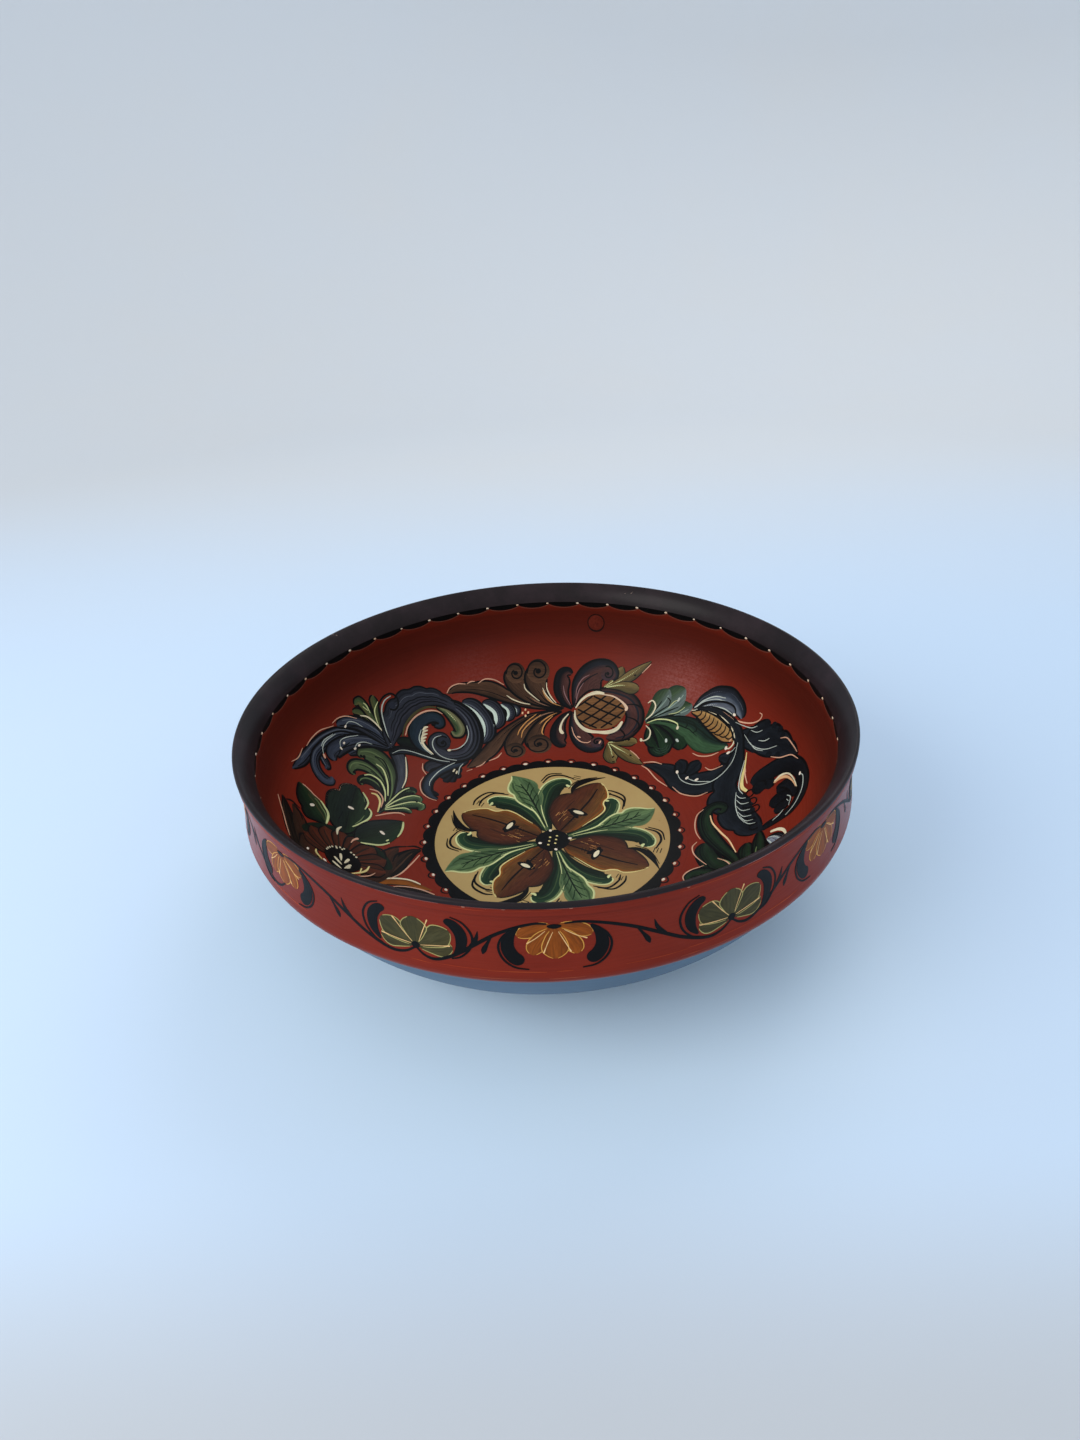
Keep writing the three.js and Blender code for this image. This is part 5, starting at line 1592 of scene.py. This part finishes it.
def navy_trunk(hand):
    """Dark trunk down the right side, with its left branch, right leaf, tassel and scalloped edge."""
    ink = [paint(25, 30, 36), paint(16, 20, 25), paint(28, 33, 40)]
    leaf = [
        (121.4, 56, 1, 1), (126, 49, 6.4, 6), (133, 41, 9.6, 9), (140, 32, 10.2, 9.6), (145.6, 22.6, 7, 8),
        (149.4, 14, 3.4, 4.6), (151.2, 6, 0.3, 0.3)]
    hand.plume(SCROLLS, leaf, ink, RIMS, ((5, 0.24), (3, 0.14)))
    hand.plume(SCROLLS, [(126, 48, 3), (133, 47, 4.8), (139.4, 45, 4.6), (143.4, 42.4, 2.6)], ink, RIMS[:1])
    branch = [
        (119.6, 50, 1.4, 1), (112, 40, 5.6, 5), (101, 34.6, 9, 6), (90, 35, 10, 8), (80.6, 40.6, 9, 9),
        (74, 49, 5, 8), (66, 57.4, 2.4, 3), (59.4, 61.4, 0.3, 0.3)]
    hand.plume(SCROLLS, branch, ink, RIMS, (None, (4, 0.2)))
    hand.fronds(SCROLLS, ink, RIMS, [(84, 44, 3), (90, 48.6, 4.4), (94, 50, 3)],
                [(80, 46, 3), (82, 53, 4), (80, 57, 2.4)], [(112, 40, 3), (108, 45, 3.6), (104.6, 46, 2)])
    trunk = [
        (100.6, 88.6, 0.5, 0.5), (111.6, 80.6, 1.8, 1.6), (118.8, 69.4, 2.6, 2.6), (121.6, 57, 3, 3.6),
        (119.6, 45, 2.6, 4.6), (113, 33, 4.4, 9), (106.4, 22, 4, 12.4), (103.4, 12, 9, 12.8),
        (103.4, 0, 11.4, 10), (106, -10, 8.8, 9.6), (110, -19, 6.6, 7), (114, -26, 2, 3)]
    hand.plume(SCROLLS, trunk, ink, RIMS, ((5, 0.16), (8, 0.3)))
    for x, y in (
        (142, 46.4), (145.6, 40.4), (148, 34), (147.6, 29), (150.4, 17), (134.4, 26.4), (127, 37.4),
        (139.4, 20.4),
    ):
        hand.dab(DARKS, x, y, 4.4, 4.4, 0, ink[1], crown=0.01)
    for i in range(6):
        y, x = 5 - 5 * i, 111.4 + 0.5 * math.sin(i)
        hand.plume(SCROLLS, [(x - 2.6, y + 1.8, 1.4), (x + 1, y, 2.3), (x + 3.4, y - 0.4, 1.8)], ink, RIMS)
    for y in (8.6, 1.4, -5.4):
        ends = [(115.4 + 2.5 * math.cos(a), y + 2.7 * math.sin(a)) for a in np.linspace(2.6, -3.0, 8)]
        hand.line(DARKS, ends, BLACK, 0.4, swell=False)
    feathers = [
        [(108, 13), (109.4, 9), (112.6, 6.8)], [(107, 9), (109, 4), (113.2, 2)],
        [(106, 4), (108, -1.4), (112.6, -3.8)], [(105.6, -1), (107.6, -6.6), (112, -9)],
        [(105.8, -5), (107.8, -11), (112, -13.4)], [(107, -11), (109, -15), (112.6, -17)]]
    hand.pale(HAIR, 0.34, *feathers)
    hand.pale(HAIR, 0.36, [(108.4, 15), (105.8, 6), (105.2, -4), (107, -12)],
              [(119.4, 49.6), (113, 40), (104, 34), (95, 32), (86, 34.6), (80, 41), (78.6, 48.4)],
              [(96, 32.4), (88, 36.6), (83.4, 41.4)], [(117, 47.6), (114, 46.4), (111.6, 46.8)],
              [(125, 51.6), (127, 41), (133, 32), (141.4, 26.4)], [(126.4, 44), (128, 37), (132, 31.6)],
              [(122.6, 63.4), (127, 57), (131, 52), (135, 50)], [(130, 51), (133, 46.6), (137, 44.6)],
              [(132, 40.6), (135.4, 37), (139, 35.6)])
    hand.dots(WHITE, 2.6, 1.6, (83.6, 41.4, 40), (88.8, 37.6, 20), (78.8, 48.4, 80), (111.6, 46.8, 0))
    hand.pale(PINK, 0.5, [(58.6, 60.6), (62, 56), (66, 46), (71, 38.4)], [(60, 62.8), (66, 61.6), (71, 58)],
              [(74, 37), (78, 29.6), (86, 24.4), (93, 24.6)], [(95.6, 44.6), (98.6, 40.8), (106, 40)],
              [(135, 23.4), (140, 17), (147, 11), (150, 3)],
              [(145.6, 28.6), (149.6, 24), (151, 15), (151.4, 8)])
    hand.stroke(LINERS,
        [(122.4, 39, 0.2), (118.6, 31, 0.5), (114.6, 23.4, 0.9), (112.6, 16.6, 1.1), (114.4, 11.4, 0.9)],
        YELLOW, over=DAB_LIFT)
    hand.pale(PINK, 0.6, [(121, 36.6), (117, 26), (116, 17)], [(118.4, 30), (117.6, 26)])
    hand.pale(HAIR, 0.44, [(119.4, 34.6), (113.6, 25), (110.6, 17), (111.6, 11)])


def right_scroll(hand):
    """C scroll on the far right with a lobed leaf inside it and a striped shell under it."""
    ink = [paint(17, 21, 26), NAVY, paint(9, 12, 15)]
    hand.plume(SCROLLS, [
        (112, -26, 1), (118, -25, 2.4), (126, -26.4, 2.6), (134, -27.4, 3.4), (141.6, -24, 4.4),
        (146.6, -16, 5), (148.4, -6, 4.6), (145, 4, 5.4, 5), (138.6, 11.6, 5.4, 6), (130, 15, 5, 6.6),
        (122.6, 15, 5, 5), (118.6, 12.6, 2.4)][::-1], ink, RIMS, ((4, 0.08), None))
    hand.fronds(SCROLLS, ink, RIMS, [(128, 9, 4), (127, 4, 4), (126, 2.4, 2)],
                [(122, 13, 4.4), (122, 8.6, 4.6), (124, 4.6, 3.6)])
    hand.fronds(SCROLLS, ink, RIMS, [(136, -14, 3), (133, -5, 5.4), (130, -3.4, 3.6)],
                [(137, -16, 3), (128, -12, 6), (123.4, -12.6, 3.4)],
                [(136, -19, 3), (128, -18.4, 4), (124, -17.6, 2.4)],
                [(139, -20, 2), (139.6, -12, 3), (137.4, -5, 3), (133, -2.4, 1.6)])
    hand.stroke(LINERS,
                [(130.4, 3.8, 0.7), (135, 3.2, 1.0), (139, -0.6, 0.8), (141, -7, 0.5), (141.4, -14, 0.3)],
                paint(228, 176, 128), over=DAB_LIFT)
    hand.stroke(LINERS,
                [(131, 4.4, 0.5), (136, 4.6, 0.7), (140.6, 0.6, 0.5), (142.2, -7, 0.4), (141.8, -15, 0.3)],
                IVORY, over=0.045)
    hand.pale(HAIR, 0.44, [(147, -8.4), (148, -13), (144, -21), (136.4, -26.6), (129, -28.6)],
              [(134.6, -14), (136, -18), (133, -23)], [(121.4, -24.4), (126, -23.8), (129.6, -22.4)],
              [(133.4, -16.6), (134, -19.6)])
    hand.dots(WHITE, 2.4, 1.6, (147, -8.4, 70))


def low_leaves(hand):
    """Dark green leaves rising from the near side, one winding into a spiral."""
    green = [GREEN_NIGHT, paint(24, 38, 26), paint(30, 44, 30), GREEN_NIGHT]
    hand.plume(SCROLLS, [(119, -50, 4.6, 5), (119, -45, 4.6, 5), (117.6, -40, 3.6, 4), (115, -36.4, 2)],
        [paint(90, 98, 112), paint(140, 146, 158), NAVY_SOFT], RIMS + [
        (0.2, HAIR, 0.4, 0.1, 0.9), (0.5, NAVY, 0.4, 0.1, 0.9), (0.7, HAIR, 0.4, 0.1, 0.9),
        (0.85, BLACK, 0.4, 0.1, 0.9)])
    hand.stroke(LINERS, [(125, -48, 0.4), (125, -41, 0.9), (122.6, -35.6, 1), (118, -32.4, 0.9)], IVORY,
                over=FINE_LIFT)
    runs = [
        [(100, -52, 3), (101.6, -42, 4.4), (103, -34.6, 4), (104.6, -30, 1.6)],
        [(108, -52, 3), (109, -42, 3.8), (110.6, -34, 3.4), (112.6, -26.4, 1.4)],
        [(94, -52, 3, 3), (88, -42, 7, 5), (85, -33, 7.4, 4), (83, -24, 6, 4), (83.6, -17, 2.6, 2)],
        [(84, -50, 3), (78.6, -44.6, 6), (73.4, -41.6, 4), (70.6, -44, 3), (73, -47.4, 2.2),
         (77, -45.6, 1.4), (75.6, -42.8, 1)],
        [(96.4, -52, 2), (95.4, -38, 2.6, 2.4), (91, -24, 3.6, 3.4), (87.4, -10, 4.6, 4), (87, 1, 4, 4),
         (90, 9, 3.4, 3), (95.6, 11.4, 2.8, 2.8), (99.4, 8, 2.2, 2.2), (97.6, 4.6, 1.6, 1.6),
         (95, 6.6, 1, 1)]]
    hand.fronds(LEAVES, green, RIMS + [
        (0.4, GREEN_NIGHT, 0.5, 0.1, 0.9), (0.65, GREEN_DARK, 0.5, 0.2, 0.8), (0.25, BLACK, 0.4, 0.1, 0.9)],
        *runs)
    hand.pale(paint(236, 196, 146), 0.74, [(90.6, 5), (90.6, -2), (93, -11), (96, -21), (97.4, -34)])
    hand.pale(PINK, 0.5, [(88, 11.6), (83.6, 8), (81, 0), (80.6, -7), (81.8, -13)],
              [(79.6, -14.6), (76.4, -18.6), (76.6, -26), (81, -36)],
              [(79.6, -36), (72, -37.6), (67.6, -42), (68.4, -49)], [(93, -45), (91, -38), (87.4, -33)])
    hand.pale(GREEN_SOFT, 0.45, [(106, -47), (107, -42), (108.4, -38)], [(94, -46), (92, -39), (88, -33.6)])


def wreath():
    """Three flowers round the wall with scrolls between, the hidden near side drawn as the left."""
    scroll_stem(Hand(inside))
    green_plumes(Hand(inside, level=0.09))
    blue_plumes(Hand(inside, level=0.07))
    big_scroll(Hand(inside, level=0.1))
    eyed_flower(Hand(inside))
    lattice_flower(Hand(inside))
    olive_leaves(Hand(inside, level=0.12))
    grey_plume(Hand(inside, level=0.13))
    seed_spray(Hand(inside, level=0.06))
    navy_trunk(Hand(inside, level=0.08))
    low_leaves(Hand(inside, level=0.12))
    right_scroll(Hand(inside, level=0.1))
    green_plumes(Hand(inside, turn=84, level=0.09))
    eyed_flower(Hand(inside, turn=86))


def plug_face():
    """Dowel in the wall, its end a little proud, with a dark line round it and painted shade along its lower
    side.
    """
    turn = math.radians(PLUG_ANGLE)
    reach = FLOOR_RADIUS + WALL_CURVE * math.acos((PLUG_DROP - LIP_DROP) / DOWN)
    at = np.array([math.cos(turn), math.sin(turn)]) * reach
    hand = Hand(inside, at, PLUG_ANGLE, level=0.04)
    widen = reach / math.hypot(*inside(at)[0][:2])
    a = np.linspace(-0.49, 0.49, 25) * math.pi
    across = np.linspace(1, -1, 15)
    flat = np.stack(np.broadcast_arrays(np.sin(a)[:, None], np.cos(a)[:, None] * across), -1) * PLUG_RADIUS
    ground, normal = inside(flat * (1, widen) @ hand.matrix.T + at)
    crown = PLUG_PROUD * (1 - 0.3 * (flat ** 2).sum(-1, keepdims=True) / PLUG_RADIUS ** 2)
    dowel = Pot("plug_dowel", "plug_painted_wood", plug_paint)
    dowel.film(ground + normal * crown, ground - normal * PLUG_DEEP, np.full(flat.shape[:2] + (3,), RED[0]),
               flat / 10)
    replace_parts(dowel.pour(), "hanging_hole_plug")
    edge = PLUG_RADIUS + 0.3
    rim = [(math.cos(v) * edge, math.sin(v) * edge * widen) for v in np.linspace(0, 6.26, 24)]
    hand.line(DARKS, rim, paint(40, 14, 10), 0.6, swell=False)
    # Painted shade: a darker arc along the plug's lower side, under its proud end.
    hand.line(DARKS, [(x * 1.06, y * 1.06) for x, y in rim[8:17]], paint(34, 12, 9), 0.7)


medallion()
lip_scallops()
DARKS.pour("black_border_strokes")
wreath()
DARKS.pour("black_wreath_strokes")
band_flowers()
edge_wear_and_highlights()
plug_face()
for pot in (BACKS, PETALS, LEAVES, SCROLLS, DARKS, LINERS, DOTS):
    pot.pour()
beads("lip_dots", LIP_DOTS, MOUTH_REACH - 1.0, (0.6, 0.9, 0.4), (0, 0), 1.6, 3)
beads("medallion_dots", MEDAL_BEADS, 71.1, (0.85, 1.3, 0.35), MEDAL_AT, 90, 5)
chips("lip_chips", 900, 0.14, LIP_RADIUS - 0.25, HEIGHT - UMBER_DROP, 0.7, 11)
chips("band_chips", 700, 0.09, EDGE[0] - 0.1, BAND_Z + 0.5, 0.35, 12)


# Floor, light and camera

FLOOR_COLOUR = paint(206, 227, 250)
FLOOR_FLAT = 1.1
FLOOR_RISE = 1.0
WALL_TOP = 4.0
FLOOR_LIFT = 0.0001


def cloth_look(start):
    """Pale matt floor, with painted light round the bowl, paler and bluer there to lift and tint its shadow,
    greyer and warmer beyond.
    """
    place = object_place(start)
    _, y, _, away = parts_of(place)
    drift = start.noise(place, 2.2, 4)
    # Painted light: the floor is paler and bluer round the bowl, lifting and tinting its shadow.
    painted_light_near_bowl = (1.0 - away.between(0.07, 0.26)).tint(FLOOR_COLOUR, paint(218, 240, 255))
    colour = (y.between(0.2, 0.9) * 0.85 + drift.between(0.4, 0.8) * 0.1).tint(painted_light_near_bowl, paint(221, 223, 225))
    near_edge = (0.0 - y).between(0.18, 0.28) * (1.0 - away.between(0.3, 0.55))
    colour = (near_edge * 0.9).tint(colour, paint(195, 199, 204))
    return colour, 0.8 + drift * 0.1, drift, 0.2


cloth_floor = finish_of("pale_cloth_floor", cloth_look, coat=0)


def rising_run(flat):
    """Distance and height of a floor that curves up into a wall."""
    a = np.linspace(0, math.pi / 2, 24)
    run = [(flat + FLOOR_RISE * math.sin(t), FLOOR_RISE * (1 - math.cos(t))) for t in a]
    return run + [(flat + FLOOR_RISE, WALL_TOP)]


def stage_piece(name, points, faces):
    mesh = bpy.data.meshes.new(name)
    mesh.from_pydata(points, [], faces)
    mesh.shade_smooth()
    mesh.materials.append(cloth_floor)
    made = bpy.data.objects.new(name, mesh)
    bpy.context.collection.objects.link(made)
    return made


def sweep(reach):
    """Floor that curves up into a backdrop behind the bowl, for the light alone."""
    points = [(x, y, z) for y, z in [(-reach, 0)] + rising_run(FLOOR_FLAT) for x in (-reach, reach)]
    faces = [(i, i + 1, i + 3, i + 2) for i in range(0, len(points) - 2, 2)]
    made = stage_piece("pale_sweep", points, faces)
    made.visible_camera = False


def round_floor(steps=96):
    """The same floor, curving up all the way round. Only the camera sees it, so it changes no light."""
    turns = np.linspace(0, 2 * math.pi, steps, endpoint=False)
    rows = [(0.02, 0)] + rising_run(FLOOR_FLAT)
    points = [(r * math.cos(t), r * math.sin(t), z + FLOOR_LIFT) for r, z in rows for t in turns]
    faces = [tuple(range(steps))]
    for i in range(0, len(points) - steps, steps):
        for j in range(steps):
            k = (j + 1) % steps
            faces.append((i + j, i + k, i + steps + k, i + steps + j))
    made = stage_piece("round_floor", points, faces)
    made.visible_diffuse = made.visible_glossy = made.visible_shadow = False


sweep(5.0)
round_floor()


def lamp(name, place, watts):
    """Round soft lamp of a window's warm white, aimed at the bowl."""
    data = bpy.data.lights.new(name, "AREA")
    data.shape = "DISK"
    data.size = 1.0
    data.energy = watts
    data.color = (1, 0.98, 0.95)
    made = bpy.data.objects.new(name, data)
    made.location = place
    made.rotation_euler = (-Vector(place)).to_track_quat("-Z", "Y").to_euler()
    bpy.context.collection.objects.link(made)


lamp("left_window", (-1.0, -0.6, 0.85), 9.0)
lamp("far_window", (0.5, 1.0, 1.3), 4.5)

world = bpy.data.worlds.new("pale_room")
bpy.context.scene.world = world
world.use_nodes = True
room = world.node_tree.nodes["Background"]
room.inputs["Color"].default_value = (0.9, 0.95, 1.0, 1)
room.inputs["Strength"].default_value = 0.79

eye = bpy.data.cameras.new("eye")
eye.lens = 22.0
eye.sensor_width = 36.0
eye.clip_start = 0.01
viewer = bpy.data.objects.new("viewer", eye)
viewer.location = (0, -0.3886, 0.3205)
viewer.rotation_euler = [math.radians(v) for v in (59.109, 2.514, -1.189)]
bpy.context.collection.objects.link(viewer)
bpy.context.scene.camera = viewer
bpy.context.scene.view_settings.view_transform = "Standard"
